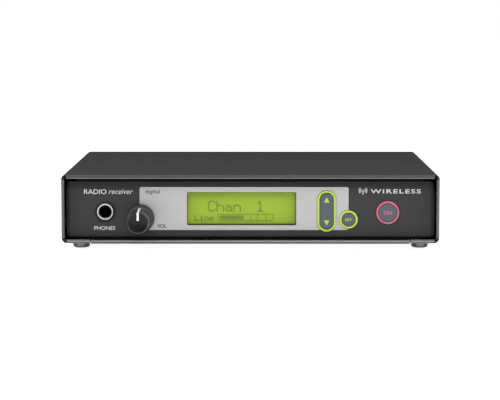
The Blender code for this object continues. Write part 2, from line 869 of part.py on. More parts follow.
def make_ribbon_cable():
    # The flat cable leaves the control board backwards, and dips to the main board.
    start = spot(0, CONTROL_BOARD["face"] + BOARD_SHEET + GAP, 24.0)
    end = spot(0, MAIN_BOARD["front"] + 14, BOARD_TOP_Z + GAP)
    bm = bmesh.new()
    count = 12
    across = 26.0
    points = []
    for step in range(count + 1):
        part = step / count
        y = start.y + (end.y - start.y) * math.sin(part * math.pi / 2)
        z = end.z + (start.z - end.z) * math.cos(part * math.pi / 2)
        points.append(bm.verts.new((10.0, y, z)))
    edges = [bm.edges.new(pair) for pair in zip(points, points[1:])]
    grown = bmesh.ops.extrude_edge_only(bm, edges=edges)["geom"]
    moved = [item for item in grown if isinstance(item, bmesh.types.BMVert)]
    bmesh.ops.translate(bm, vec=(across, 0, 0), verts=moved)
    bmesh.ops.recalc_face_normals(bm, faces=bm.faces)
    cable = place("ribbon_cable", bm, finish="ribbon_grey")
    wall = cable.modifiers.new("wall", "SOLIDIFY")
    wall.thickness = 0.9 * MM
    wall.offset = 0
    wall.use_even_offset = True


def make_shield_can(name, x, depth):
    # A pressed can, open towards the board.
    width, length, height = 46.0, 62.0, 9.0
    bm = bmesh.new()
    cube_mesh(bm, (-width / 2, -length / 2, 0), (width / 2, length / 2, height))
    round_edges(bm, 2, 1.5, 2)
    floor = [face for face in bm.faces if face.normal.z < -0.9]
    bmesh.ops.delete(bm, geom=floor, context="FACES")
    can = place(name, bm, spot(x, depth, BOARD_TOP_Z + GAP), finish="steel")
    wall = can.modifiers.new("wall", "SOLIDIFY")
    wall.thickness = 0.5 * MM
    wall.offset = -1
    wall.use_even_offset = True


def make_heat_sink(x, depth):
    # Upright fins on a base; the outline is a comb.
    fins, pitch, fin, base, height = 6, 6.0, 1.6, 2.5, 17.0
    left = x - pitch * (fins - 1) / 2 - fin / 2
    low = BOARD_TOP_Z + GAP
    outline = [(left, low)]
    for number in range(fins):
        start = left + number * pitch
        outline += [(start, low + height), (start + fin, low + height)]
        if number < fins - 1:
            outline += [(start + fin, low + base), (start + pitch, low + base)]
    outline.append((left + pitch * (fins - 1) + fin, low))
    prism("heat_sink", outline, depth - 12, depth + 12, "steel")


def make_components():
    make_shield_can("tuner_can_left", -58.0, 94.0)
    make_shield_can("tuner_can_right", 58.0, 94.0)
    low = BOARD_TOP_Z + GAP
    box(
        "processor_chip",
        (-10, 78, low),
        (10, 98, low + 2.2),
        "black_plastic",
        corner=0.8,
        axis=2,
        steps=2,
    )
    make_heat_sink(0, 122)
    radius, height = 6.3, 16.0
    can = [
        (0, height),
        (radius - 0.6, height),
        (radius, height - 0.6),
        (radius, 2.6),
        (radius - 0.5, 2.1),
        (radius, 1.6),
        (radius, 0),
        (0, 0),
    ]
    turned("reservoir_capacitor", can, (-30, 48, low), UPWARD, "blue_sleeve")


def make_rear_panel():
    low = (-PANEL_HALF, REAR_INSIDE, PANEL_LOW_Z)
    high = (PANEL_HALF, REAR_FACE, PANEL_HIGH_Z + 0.7)
    panel = box("rear_panel", low, high, "dark_paint")
    near, far = REAR_INSIDE - 1, REAR_FACE + 1
    holes = {
        "bnc_hole_left": (-BNC_X, SOCKET_Z, 5.2),
        "bnc_hole_right": (BNC_X, SOCKET_Z, 5.2),
        "xlr_hole": (XLR["x"], SOCKET_Z, XLR["shell"] + GAP),
        "line_hole": (LINE_JACK["x"], SOCKET_Z, LINE_JACK["nose"] + GAP),
        "screw_hole_left": (-REAR_SCREW["x"], REAR_SCREW["z"], REAR_SCREW["shank"] + GAP),
        "screw_hole_right": (REAR_SCREW["x"], REAR_SCREW["z"], REAR_SCREW["shank"] + GAP),
        "hook_hole_low": (HOOK["x"], HOOK["z"] - HOOK["half_height"], HOOK["wire"] + GAP),
        "hook_hole_high": (HOOK["x"], HOOK["z"] + HOOK["half_height"], HOOK["wire"] + GAP),
    }
    for name, (x, z, radius) in holes.items():
        combine(panel, rod(name, radius, (x, far, z), (x, near, z), steps=24))
    for name, socket in (("data", DATA_SOCKET), ("dc", DC_SOCKET)):
        side = socket["width"] / 2 + GAP
        rise = socket["height"] / 2 + GAP
        cut = box(
            f"{name}_cutout",
            (socket["x"] - side, near, socket["z"] - rise),
            (socket["x"] + side, far, socket["z"] + rise),
        )
        combine(panel, cut)


def make_rear_screws():
    for side, name in ((-1, "left"), (1, "right")):
        x, z = side * REAR_SCREW["x"], REAR_SCREW["z"]
        head, shank = REAR_SCREW["head"], REAR_SCREW["shank"]
        profile = [
            (0, 1.6),
            (head * 0.6, 1.5),
            (head - 0.3, 1.0),
            (head, 0.5),
            (head, 0),
            (shank, 0),
            (shank, -6.5),
            (0, -6.5),
        ]
        screw = turned(
            f"rear_screw_{name}", profile, (x, REAR_FACE + 0.2, z), BACKWARD, "steel", steps=16
        )
        near, far = REAR_FACE + 1.0, REAR_FACE + 3
        cross_recess(
            f"rear_screw_{name}",
            (x - 1.5, near, z - 0.3),
            (x + 1.5, far, z + 0.3),
            (x - 0.3, near, z - 1.5),
            (x + 0.3, far, z + 1.5),
            screw,
        )


def make_antenna_socket(name, x):
    # Bayonet socket: tube with two lugs and a collar against the nut.
    tip = CASE_DEPTH + SOCKET_REACH - REAR_FACE
    outer, inner, back = 4.8, 4.05, -9.0
    shell = [
        (outer - 0.3, tip),
        (outer, tip - 0.3),
        (outer, 3.4),
        (outer + 0.1, 3.4),
        (outer + 0.1, back),
        (inner, back),
        (inner, tip - 0.3),
        (inner + 0.3, tip),
    ]
    body = turned(
        f"antenna_socket_{name}", shell, (x, REAR_FACE, SOCKET_Z), BACKWARD, "chrome", closed=True, steps=24
    )
    for side, rotation in ((-1, LEFTWARD), (1, RIGHTWARD)):
        depth = REAR_FACE + tip - 5.2
        lug = rod(
            f"lug_{name}_{side}",
            1.0,
            (x + side * (inner + 0.3), depth, SOCKET_Z),
            (x + side * (outer + 0.9), depth, SOCKET_Z),
            rotation,
            steps=12,
        )
        combine(body, lug, "UNION")
    core = [
        (0, 4.0),
        (0.6, 4.0),
        (0.6, tip - 1.5),
        (2.4, tip - 1.5),
        (2.4, 1.0),
        (inner - GAP, 1.0),
        (inner - GAP, back + 0.5),
        (0, back + 0.5),
    ]
    turned(
        f"antenna_insulator_{name}",
        core,
        (x, REAR_FACE, SOCKET_Z),
        BACKWARD,
        "white_plastic",
        steps=20,
    )
    hex_nut(
        f"antenna_nut_{name}",
        x,
        SOCKET_Z,
        REAR_FACE + 0.2,
        REAR_FACE + 2.6,
        6.9,
        outer + 0.1 + GAP,
    )


def make_balanced_socket():
    x, z = XLR["x"], SOCKET_Z
    width, height = XLR["flange"]
    face = REAR_FACE + 2.4
    cup_floor = face - XLR["cup_depth"]
    shell = box(
        "balanced_socket",
        (x - width / 2, REAR_FACE + 0.2, z - height / 2),
        (x + width / 2, face, z + height / 2),
        "black_plastic",
        corner=3.0,
    )
    barrel = rod("xlr_barrel", XLR["shell"], (x, cup_floor - 5, z), (x, REAR_FACE + 1, z), steps=40)
    combine(shell, barrel, "UNION")
    cup = rod("xlr_cup", XLR["cup"], (x, cup_floor, z), (x, face + 1, z), steps=40)
    combine(shell, cup)
    insert = rod(
        "balanced_insert",
        XLR["cup"] - GAP,
        (x, cup_floor + 2.6, z),
        (x, cup_floor + GAP, z),
        finish="black_plastic",
        steps=32,
    )
    pin_circle = 4.0
    for number in range(3):
        angle = math.radians(90 + 120 * number)
        px = x + pin_circle * math.cos(angle)
        pz = z + pin_circle * math.sin(angle)
        pin = rod(
            f"xlr_pin_{number}",
            XLR["pin"],
            (px, face - 4.6, pz),
            (px, cup_floor + 1.4, pz),
            steps=12,
        )
        combine(insert, pin, "UNION")


def make_line_jack():
    x, z = LINE_JACK["x"], SOCKET_Z
    bore, nose = LINE_JACK["bore"], LINE_JACK["nose"]
    inside = REAR_INSIDE - GAP
    tip = REAR_FACE + 3.4
    body = box(
        "line_jack",
        (x - 8.0, inside - 25, z - 8.0),
        (x + 8.0, inside, z + 8.0),
        "black_plastic",
        corner=0.8,
        steps=2,
    )
    combine(body, rod("line_nose", nose, (x, inside - 2, z), (x, tip, z), steps=32), "UNION")
    combine(body, rod("line_bore", bore, (x, inside - 23, z), (x, tip + 1, z), steps=24))
    ring = [(6.6, 2.0), (6.9, 1.7), (6.9, 0), (nose + GAP, 0), (nose + GAP, 2.0)]
    turned(
        "line_jack_nut", ring, (x, REAR_FACE + 0.2, z), BACKWARD, "steel", closed=True, steps=24
    )


def make_data_socket():
    x, z = DATA_SOCKET["x"], DATA_SOCKET["z"]
    side, rise = DATA_SOCKET["width"] / 2, DATA_SOCKET["height"] / 2
    face = REAR_FACE + 0.8
    socket = box(
        "data_socket",
        (x - side, face - 16, z - rise),
        (x + side, face, z + rise),
        "black_plastic",
    )
    mouth = box("data_mouth", (x - 4.9, face - 12, z - 3.9), (x + 4.9, face + 1, z + 3.5))
    combine(socket, mouth)
    latch = box("data_latch", (x - 2.0, face - 11.5, z - 5.2), (x + 2.0, face + 1, z - 3.5))
    combine(socket, latch)


def make_power_inlet():
    x, z = DC_SOCKET["x"], DC_SOCKET["z"]
    side, rise = DC_SOCKET["width"] / 2, DC_SOCKET["height"] / 2
    face = REAR_FACE + 0.8
    socket = box(
        "power_inlet", (x - side, face - 14, z - rise), (x + side, face, z + rise), "black_plastic"
    )
    combine(socket, rod("inlet_bore", DC_SOCKET["bore"], (x, face - 11, z), (x, face + 1, z)))
    pin = rod("inlet_pin", 1.0, (x, face - 12, z), (x, face - 4.6, z), steps=12)
    combine(socket, pin, "UNION")


def make_cable_hook():
    # A bent wire that holds the supply lead: out of the panel, down and back into it.
    x, z = HOOK["x"], HOOK["z"]
    rise, reach, radius = HOOK["half_height"], HOOK["reach"], 2.5
    inside = REAR_INSIDE - 2
    far = REAR_FACE + reach
    route = [(inside, z + rise)]
    route += arc(far - radius, z + rise - radius, radius, 90, 0, 4)
    route += arc(far - radius, z - rise + radius, radius, 0, -90, 4)
    route.append((inside, z - rise))
    curve = bpy.data.curves.new("cable_hook_route", "CURVE")
    curve.dimensions = "3D"
    curve.bevel_depth = HOOK["wire"] * MM
    curve.bevel_resolution = 2
    curve.render_resolution_u = 0
    curve.use_fill_caps = True
    spline = curve.splines.new("POLY")
    spline.points.add(len(route) - 1)
    for point, (depth, height) in zip(spline.points, route):
        point.co = (*(spot(x, depth, height) * MM), 1.0)
    bent = bpy.data.objects.new("cable_hook_wire", curve)
    tools.objects.link(bent)
    graph = bpy.context.evaluated_depsgraph_get()
    mesh = bpy.data.meshes.new_from_object(bent.evaluated_get(graph))
    mesh.name = "cable_hook"
    bm = bmesh.new()
    bm.from_mesh(mesh)
    bmesh.ops.remove_doubles(bm, verts=bm.verts, dist=0.001 * MM)
    bmesh.ops.recalc_face_normals(bm, faces=bm.faces)
    bm.to_mesh(mesh)
    bm.free()
    hook = bpy.data.objects.new("cable_hook", mesh)
    hook.matrix_world = bent.matrix_world.copy()
    bpy.data.objects.remove(bent, do_unlink=True)
    mesh.materials.clear()
    mesh.materials.append(finish_material("cable_hook", "steel"))
    parts.objects.link(hook)


clear_scene()
parts = new_collection("wireless_receiver_unit")
tools = new_collection("cutters")

make_cover()
make_chassis()
make_side_screws()
make_feet()
make_front_panel()
make_fascia()
make_display()
make_rocker()
make_round_key("set", SET_KEY, "lime")
make_round_key("power", POWER_KEY, "pink")
make_volume_control()
make_phones_jack()
make_boards()
make_ribbon_cable()
make_components()
make_rear_panel()
make_rear_screws()
make_antenna_socket("left", -BNC_X)
make_antenna_socket("right", BNC_X)
make_balanced_socket()
make_line_jack()
make_data_socket()
make_power_inlet()
make_cable_hook()
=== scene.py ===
# Looks of the half-rack wireless receiver: painted sheet case, printed front panel, display,
# keys, knob and the sockets on the rear. Lengths are in millimetres until a piece is finished.
import math

import bmesh
import bpy
from mathutils import Matrix, Vector


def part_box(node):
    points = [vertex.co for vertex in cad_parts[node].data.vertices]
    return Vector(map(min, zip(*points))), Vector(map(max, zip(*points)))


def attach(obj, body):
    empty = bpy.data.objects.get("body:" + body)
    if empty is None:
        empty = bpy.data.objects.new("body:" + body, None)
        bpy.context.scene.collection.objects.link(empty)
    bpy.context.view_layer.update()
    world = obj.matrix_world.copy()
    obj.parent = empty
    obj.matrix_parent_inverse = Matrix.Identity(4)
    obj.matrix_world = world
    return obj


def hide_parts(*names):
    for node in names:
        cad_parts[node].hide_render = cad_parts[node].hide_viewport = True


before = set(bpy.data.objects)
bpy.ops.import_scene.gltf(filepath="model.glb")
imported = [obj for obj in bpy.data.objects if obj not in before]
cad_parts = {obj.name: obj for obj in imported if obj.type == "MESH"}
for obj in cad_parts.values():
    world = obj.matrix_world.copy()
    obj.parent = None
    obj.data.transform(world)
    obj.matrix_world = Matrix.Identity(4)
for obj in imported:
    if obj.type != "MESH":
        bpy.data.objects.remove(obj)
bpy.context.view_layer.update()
scene = bpy.context.scene
mm = 0.001
white = (1, 1, 1, 1)
sides = {"left": -1, "right": 1}


def turnBy(degrees, axis):
    return Matrix.Rotation(math.radians(degrees), 4, axis)


# they point a shape made along Z forward, back, up or to a side
forward, backward, upward = turnBy(90, "X"), turnBy(-90, "X"), Matrix.Identity(4)
sideways = {"left": turnBy(-90, "Y"), "right": turnBy(90, "Y")}


def span(node):
    # lowest corner, highest corner and centre of a CAD node, in millimetres
    low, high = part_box(node)
    return low / mm, high / mm, (low + high) / 2 / mm


caseLow, caseHigh, caseCentre = span("case_cover")
panelLow, panelHigh = span("front_panel")[:2]
rearLow, rearHigh = span("rear_panel")[:2]


# small steps that the node trees below are built from
def addNode(tree, kind, values=None, **settings):
    made = tree.nodes.new("ShaderNode" + kind)
    for key, value in settings.items():
        setattr(made, key, value)
    for key, value in (values or {}).items():
        if isinstance(value, bpy.types.NodeSocket):
            tree.links.new(value, made.inputs[key])
        else:
            made.inputs[key].default_value = value
    return made


def mathNode(tree, operation, *values):
    return addNode(tree, "Math", dict(enumerate(values)), operation=operation).outputs[0]


def vectorNode(tree, operation, values, output=0):
    return addNode(tree, "VectorMath", values, operation=operation).outputs[output]


def mapRange(tree, value, start, end, low=0.0, high=1.0, smooth=True):
    values = {"Value": value, "From Min": start, "From Max": end, "To Min": low, "To Max": high}
    kind = "SMOOTHSTEP" if smooth else "LINEAR"
    return addNode(tree, "MapRange", values, interpolation_type=kind).outputs[0]


def blendColour(tree, factor, first, second):
    return addNode(tree, "Mix", {0: factor, 6: first, 7: second}, data_type="RGBA").outputs[2]


def noise(tree, vector, scale, detail=2.0, rough=0.5):
    values = {"Vector": vector, "Scale": scale, "Detail": detail, "Roughness": rough}
    return addNode(tree, "TexNoise", values).outputs["Fac"]


def objectPlace(tree):
    return addNode(tree, "TexCoord").outputs["Object"]


def splitAxes(tree, vector):
    return addNode(tree, "SeparateXYZ", {0: vector}).outputs


def facingBack(tree):
    # 1 where a surface faces back, -1 where it faces forward
    return splitAxes(tree, addNode(tree, "TexCoord").outputs["Normal"])["Y"]


def endFaces(tree, least):
    # 1 on surfaces that face forward or back
    return mathNode(tree, "GREATER_THAN", mathNode(tree, "ABSOLUTE", facingBack(tree)), least)


cameraSettings = {
    "focal": 140.9,
    "sensor": 36.0,
    "right": 0.0033,
    "distance": 1.093,
    "height": 0.1399,
    "pitch": 5.81,
    "yaw": 0.184,
    "clip": 50,
}


def placeCamera(settings):
    data = bpy.data.cameras.new("camera")
    data.lens, data.sensor_width = settings["focal"], settings["sensor"]
    data.clip_end = settings["clip"]
    camera = bpy.data.objects.new("camera", data)
    camera.location = (settings["right"], caseLow.y * mm - settings["distance"], settings["height"])
    pitch, yaw = math.radians(90 - settings["pitch"]), math.radians(settings["yaw"])
    camera.rotation_euler = (pitch, 0, yaw)
    scene.collection.objects.link(camera)
    scene.camera = camera


lightSettings = {
    "top": {"size": (1.6, 0.7), "place": (0.0, -0.75, 1.25), "aim": (0, 0, 0.02), "power": 5.0},
    "strip": {"size": (1.0, 0.2), "place": (0.0, -0.36, 0.42), "aim": (0, -0.04, 0), "power": 1.9},
    "front": {"size": (1.2, 0.6), "place": (0.4, -1.9, 0.6), "aim": (0, 0, 0.02), "power": 1.2},
    "left": {"size": (0.5, 0.8), "place": (-1.1, -0.55, 0.4), "aim": (0, 0, 0.02), "power": 3.2},
    "right": {"size": (0.5, 0.8), "place": (1.1, -0.55, 0.4), "aim": (0, 0, 0.02), "power": 3.2},
    "rear": {"size": (1.4, 0.6), "place": (0.0, 1.3, 1.6), "aim": (0, 0, 0.02), "power": 1.5},
    "card": {"size": (1.2, 0.22), "place": (0.0, 0.5, 0.23), "aim": (0, -0.08, 0.04), "power": 0.08},
}
worldSettings = {"seen": 1.0, "front": 0.27, "behind": 0.046, "change": (-0.5, 0.4)}


def placeLights(settings):
    for name, values in settings.items():
        data = bpy.data.lights.new(f"light_{name}", "AREA")
        data.shape = "RECTANGLE"
        data.size, data.size_y = values["size"]
        data.energy = values["power"]
        lamp = bpy.data.objects.new(f"light_{name}", data)
        lamp.location = values["place"]
        lamp.visible_camera = False
        way = Vector(values["aim"]) - Vector(values["place"])
        lamp.rotation_euler = way.to_track_quat("-Z", "Y").to_euler()
        scene.collection.objects.link(lamp)


def placeWorld(settings):
    # the camera sees plain white; the light comes from the front half of the room
    world = bpy.data.worlds.new("studio")
    scene.world = world
    world.use_nodes = True
    tree = world.node_tree
    tree.nodes.clear()
    depth = splitAxes(tree, addNode(tree, "TexCoord").outputs["Generated"])["Y"]
    ends = (*settings["change"], settings["front"], settings["behind"])
    strength = mapRange(tree, depth, *ends, smooth=False)
    lit = addNode(tree, "Background", {"Color": white, "Strength": strength}).outputs[0]
    seen = addNode(tree, "Background", {"Color": white, "Strength": settings["seen"]}).outputs[0]
    eye = addNode(tree, "LightPath").outputs["Is Camera Ray"]
    mix = addNode(tree, "MixShader", {"Fac": eye, 1: lit, 2: seen}).outputs[0]
    addNode(tree, "OutputWorld", {"Surface": mix})


placeCamera(cameraSettings)
placeLights(lightSettings)
placeWorld(worldSettings)
scene.view_settings.view_transform = "Standard"
print("camera and lights placed")


def grey(value):
    return (value, value, value * 1.02, 1)


def newGroup(name, inputs, outputs):
    # a socket is a number, a vector or a colour by how many values it holds
    group = bpy.data.node_groups.new(name, "ShaderNodeTree")
    kinds = {1: "NodeSocketFloat", 3: "NodeSocketVector", 4: "NodeSocketColor"}
    for label, default in inputs.items():
        size = len(default) if isinstance(default, tuple) else 1
        socket = group.interface.new_socket(label, in_out="INPUT", socket_type=kinds[size])
        socket.default_value = default
    for label, size in outputs.items():
        group.interface.new_socket(label, in_out="OUTPUT", socket_type=kinds[size])
    return group, group.nodes.new("NodeGroupInput").outputs, group.nodes.new("NodeGroupOutput").inputs


def edgeWearAndHighlightGroup():
    # paler along edges, broken up by a noise: partly wear, partly a painted highlight on the edges
    group, given, out = newGroup("edgeWearAndHighlight", {"Width": 0.0003, "Break": 0.5}, {"Mask": 1})
    rounded = addNode(group, "Bevel", {"Radius": given["Width"]}, samples=4).outputs[0]
    flat = addNode(group, "NewGeometry").outputs["Normal"]
    alike = vectorNode(group, "DOT_PRODUCT", {0: rounded, 1: flat}, "Value")
    turn = mathNode(group, "SUBTRACT", 1.0, alike)
    sharp = mapRange(group, turn, 0.02, 0.25, smooth=False)
    broken = noise(group, objectPlace(group), 420.0, 3.0)
    kept = mapRange(group, broken, 0.35, 0.65, given["Break"], smooth=False)
    group.links.new(mathNode(group, "MULTIPLY", sharp, kept), out["Mask"])
    return group


edgeWearAndHighlight = edgeWearAndHighlightGroup()
surfaceOutputs = {"Colour": 4, "Roughness": 1, "Normal": 3}


def finishGroup(group, given, out, tone, edgeColour, slow, height, depth):
    # what painted and metal surfaces share: tone, paler edges (partly wear, partly painted highlight),
    # slow gloss changes, fine relief
    scaled = vectorNode(group, "SCALE", {0: given["Colour"], "Scale": tone})
    edge = addNode(group, "Group", {"Width": given["Edge Width"]}, node_tree=edgeWearAndHighlight)
    share = mathNode(group, "MULTIPLY", edge.outputs["Mask"], given["Edge"])
    rough = mathNode(group, "MULTIPLY_ADD", slow, given["Roughness Swing"], given["Roughness"])
    bump = addNode(group, "Bump", {"Height": height, "Distance": depth, "Strength": 1.0})
    group.links.new(blendColour(group, share, scaled, edgeColour), out["Colour"])
    group.links.new(rough, out["Roughness"])
    group.links.new(bump.outputs[0], out["Normal"])
    return group


def grainGroup():
    # paint, rubber and moulded plastic: fine grain, slow tone drift and lighter edges (partly wear,
    # partly painted highlight)
    inputs = {
        "Colour": grey(0.05),
        "Edge Colour": grey(0.2),
        "Edge": 0.4,
        "Edge Width": 0.0003,
        "Grain Scale": 1800.0,
        "Grain Tone": 0.2,
        "Grain Depth": 0.00003,
        "Drift": 0.1,
        "Roughness": 0.5,
        "Roughness Swing": 0.1,
    }
    group, given, out = newGroup("fineGrain", inputs, surfaceOutputs)
    where = objectPlace(group)
    grain = noise(group, where, given["Grain Scale"], 3.0, 0.6)
    slow = mathNode(group, "SUBTRACT", noise(group, where, 14.0, 3.0, 0.55), 0.5)
    centred = mathNode(group, "SUBTRACT", grain, 0.5)
    tone = mathNode(group, "MULTIPLY_ADD", centred, given["Grain Tone"], 1.0)
    tone = mathNode(group, "MULTIPLY_ADD", slow, given["Drift"], tone)
    depth = given["Grain Depth"]
    return finishGroup(group, given, out, tone, given["Edge Colour"], slow, grain, depth)


def metalGroup():
    # drawn or turned metal: long fine streaks along one axis and a few handling marks
    inputs = {
        "Colour": grey(0.6),
        "Stretch": (40.0, 2500.0, 2500.0),
        "Streak Tone": 0.1,
        "Streak Depth": 0.00001,
        "Roughness": 0.3,
        "Roughness Swing": 0.15,
        "Edge": 0.3,
        "Edge Width": 0.0002,
    }
    group, given, out = newGroup("drawnMetal", inputs, surfaceOutputs)
    where = objectPlace(group)
    pulled = vectorNode(group, "MULTIPLY", {0: where, 1: given["Stretch"]})
    streak = noise(group, pulled, 1.0, 2.0)
    slow = mathNode(group, "SUBTRACT", noise(group, where, 60.0, 2.0), 0.5)
    centred = mathNode(group, "SUBTRACT", streak, 0.5)
    tone = mathNode(group, "MULTIPLY_ADD", centred, given["Streak Tone"], 1.0)
    bright, depth = (0.95, 0.95, 0.95, 1), given["Streak Depth"]
    return finishGroup(group, given, out, tone, bright, slow, streak, depth)


fineGrain = grainGroup()
drawnMetal = metalGroup()


def newMaterial(name, colour, shaderValues):
    material = bpy.data.materials.new(name)
    material.use_nodes = True
    material.diffuse_color = (*colour[:3], 1)
    shader = material.node_tree.nodes["Principled BSDF"].inputs
    for key, value in shaderValues.items():
        shader[key].default_value = value
    return material.node_tree, shader


def groupMaterial(name, group, values, shaderValues):
    tree, shader = newMaterial(name, values["Colour"], shaderValues)
    made = addNode(tree, "Group", values, node_tree=group).outputs
    for label, target in (("Colour", "Base Color"), ("Roughness", "Roughness"), ("Normal", "Normal")):
        tree.links.new(made[label], shader[target])


def ink(colour):
    return (colour, colour, 0.0, 0.0003, 4000.0, 0.1, 0.000004, 0.5, 0.3)


grainColumns = (
    "Colour", "Edge Colour", "Edge", "Edge Width", "Grain Scale", "Grain Tone", "Grain Depth",
    "Roughness",
)
# the last value of each row is the specular level
grainFinishes = {
    # casePaint's and knobPlastic's edge colour and share are mostly painted highlight on the case's cut
    # edges and the knob's front chamfer
    "casePaint": (grey(0.04), grey(0.22), 0.9, 0.0008, 1700.0, 0.35, 0.00002, 0.29, 0.4),
    "panelPaint": (grey(0.034), grey(0.034), 0.0, 0.0003, 2600.0, 0.2, 0.00001, 0.6, 0.15),
    "blackPlastic": (grey(0.008), grey(0.05), 0.35, 0.0002, 3000.0, 0.2, 0.00001, 0.5, 0.2),
    "knobPlastic": (grey(0.035), grey(0.3), 0.8, 0.0003, 3500.0, 0.2, 0.00001, 0.3, 0.25),
    "footRubber": (grey(0.008), grey(0.05), 0.2, 0.0003, 2500.0, 0.2, 0.000006, 0.22, 0.5),
    "keyGrey": (
        (0.07, 0.079, 0.098, 1), (0.14, 0.15, 0.18, 1),
        0.3, 0.0002, 3500.0, 0.15, 0.00001, 0.6, 0.3,
    ),
    "limePlastic": (
        (0.37, 0.52, 0.05, 1), (0.5, 0.66, 0.12, 1),
        0.25, 0.0002, 3500.0, 0.08, 0.000005, 0.35, 0.4,
    ),
    "pinkPlastic": (
        (0.48, 0.10, 0.16, 1), (0.7, 0.25, 0.32, 1),
        0.25, 0.0002, 3500.0, 0.08, 0.000005, 0.35, 0.4,
    ),
    "naturalPlastic": (
        (0.72, 0.70, 0.64, 1), (0.85, 0.84, 0.8, 1),
        0.2, 0.0003, 1800.0, 0.06, 0.000008, 0.35, 0.5,
    ),
    "blueSleeve": (
        (0.02, 0.035, 0.12, 1), (0.4, 0.42, 0.46, 1),
        0.5, 0.0003, 1800.0, 0.1, 0.000006, 0.25, 0.5,
    ),
    "cableGrey": (
        (0.28, 0.28, 0.3, 1), (0.4, 0.4, 0.42, 1),
        0.4, 0.0003, 1800.0, 0.12, 0.00001, 0.45, 0.5,
    ),
    "whiteInk": ink((0.9, 0.9, 0.9, 1)),
    "paleInk": ink((0.52, 0.52, 0.52, 1)),
    "softInk": ink((0.12, 0.12, 0.12, 1)),
    "blackInk": ink((0.02, 0.02, 0.02, 1)),
    "limeInk": ink((0.35, 0.50, 0.05, 1)),
    "pinkInk": ink((0.5, 0.1, 0.16, 1)),
}
slowChanges = {"casePaint": {"Drift": 0.05, "Roughness Swing": 0.03}}
metalColumns = (
    "Colour", "Stretch", "Streak Tone", "Streak Depth", "Roughness", "Roughness Swing", "Edge",
)
# the last two values of each row are the metallic share and the specular level
metalFinishes = {
    "silverSheet": (
        (0.395, 0.395, 0.4, 1), (30.0, 3500.0, 3500.0), 0.06, 0.000002, 0.45, 0.1, 0.3, 0.35, 0.4,
    ),
    "chromeMetal": (
        (0.45, 0.45, 0.455, 1), (1500.0, 1500.0, 60.0), 0.04, 0.000001, 0.16, 0.1, 0.3, 1.0, 0.5,
    ),
    "screwSteel": (
        (0.50, 0.50, 0.51, 1), (2000.0, 2000.0, 200.0), 0.15, 0.00001, 0.32, 0.15, 0.4, 1.0, 0.5,
    ),
    "tinnedSteel": (
        (0.3, 0.3, 0.29, 1), (60.0, 2500.0, 2500.0), 0.1, 0.00001, 0.5, 0.15, 0.3, 1.0, 0.5,
    ),
    "finAluminium": (
        (0.62, 0.62, 0.63, 1), (2500.0, 60.0, 2500.0), 0.12, 0.00001, 0.4, 0.15, 0.3, 1.0, 0.5,
    ),
    "goldPlate": (
        (0.78, 0.55, 0.22, 1), (1500.0, 100.0, 1500.0), 0.06, 0.00001, 0.22, 0.15, 0.3, 1.0, 0.5,
    ),
}
for finishName, (*finishRow, specular) in grainFinishes.items():
    finishValues = {**dict(zip(grainColumns, finishRow)), **slowChanges.get(finishName, {})}
    groupMaterial(finishName, fineGrain, finishValues, {"Specular IOR Level": specular})
for finishName, (*finishRow, metallic, specular) in metalFinishes.items():
    shine = {"Metallic": metallic, "Specular IOR Level": specular}
    groupMaterial(finishName, drawnMetal, dict(zip(metalColumns, finishRow)), shine)


def colourOf(name):
    # a material's tree, its shader's sockets and the colour that it has so far
    tree = bpy.data.materials[name].node_tree
    shader = tree.nodes["Principled BSDF"].inputs
    return tree, shader, shader["Base Color"].links[0].from_socket


def paintLightFacing(name, tone, start, end):
    # painted light: turns the colour to tone where a surface faces forward
    tree, shader, colour = colourOf(name)
    mask = mapRange(tree, facingBack(tree), -start, -end)
    tree.links.new(blendColour(tree, mask, colour, tone), shader["Base Color"])


sheetSettings = {
    "thickness": 1.2,
    "fold": 1.5,
    "foldSteps": 8,
    "corner": 3.0,
    "cornerSteps": 12,
    "sideRim": 1.8,
    "topRim": 2.3,
    "bottomRim": 2.3,
    "lapEdge": 90.25,
    "floorEdge": 89.75,
    "cutEdge": 0.28,
}
# for each rim: height from the edge, reach and strength of its painted highlight line
rimLightAndCornerShade = {
    "tone": 0.3,
    "low": (1.3, 0.75, 0.6),
    "high": (0.12, 0.35, 0.5),
    "side": (-0.7, 1.0, 0.2),
    "facing": 0.3,
    "cornerShade": 0.004,
    "cornerRim": 0.3,
    "cornerFacing": 0.5,
}


def paintRimHighlights(name, settings):
    # painted highlight: paler lines along the folded rims
    tree, shader, colour = colourOf(name)
    parts = splitAxes(tree, objectPlace(tree))
    lines = []
    for along, start, (rise, reach, strength) in (
        (parts["Z"], caseLow.z, settings["low"]),
        (parts["Z"], caseHigh.z - sheetSettings["topRim"], settings["high"]),
        (mathNode(tree, "ABSOLUTE", parts["X"]), caseHigh.x, settings["side"]),
    ):
        away = mathNode(tree, "ABSOLUTE", mathNode(tree, "SUBTRACT", along, (start + rise) * mm))
        lines.append(mapRange(tree, away, reach * mm, 0.0, 0.0, strength))
    flat = endFaces(tree, settings["facing"])
    mask = mathNode(tree, "MAXIMUM", lines[0], mathNode(tree, "MAXIMUM", *lines[1:]))
    mask = mathNode(tree, "MULTIPLY", mask, flat)
    tree.links.new(blendColour(tree, mask, colour, grey(settings["tone"])), shader["Base Color"])


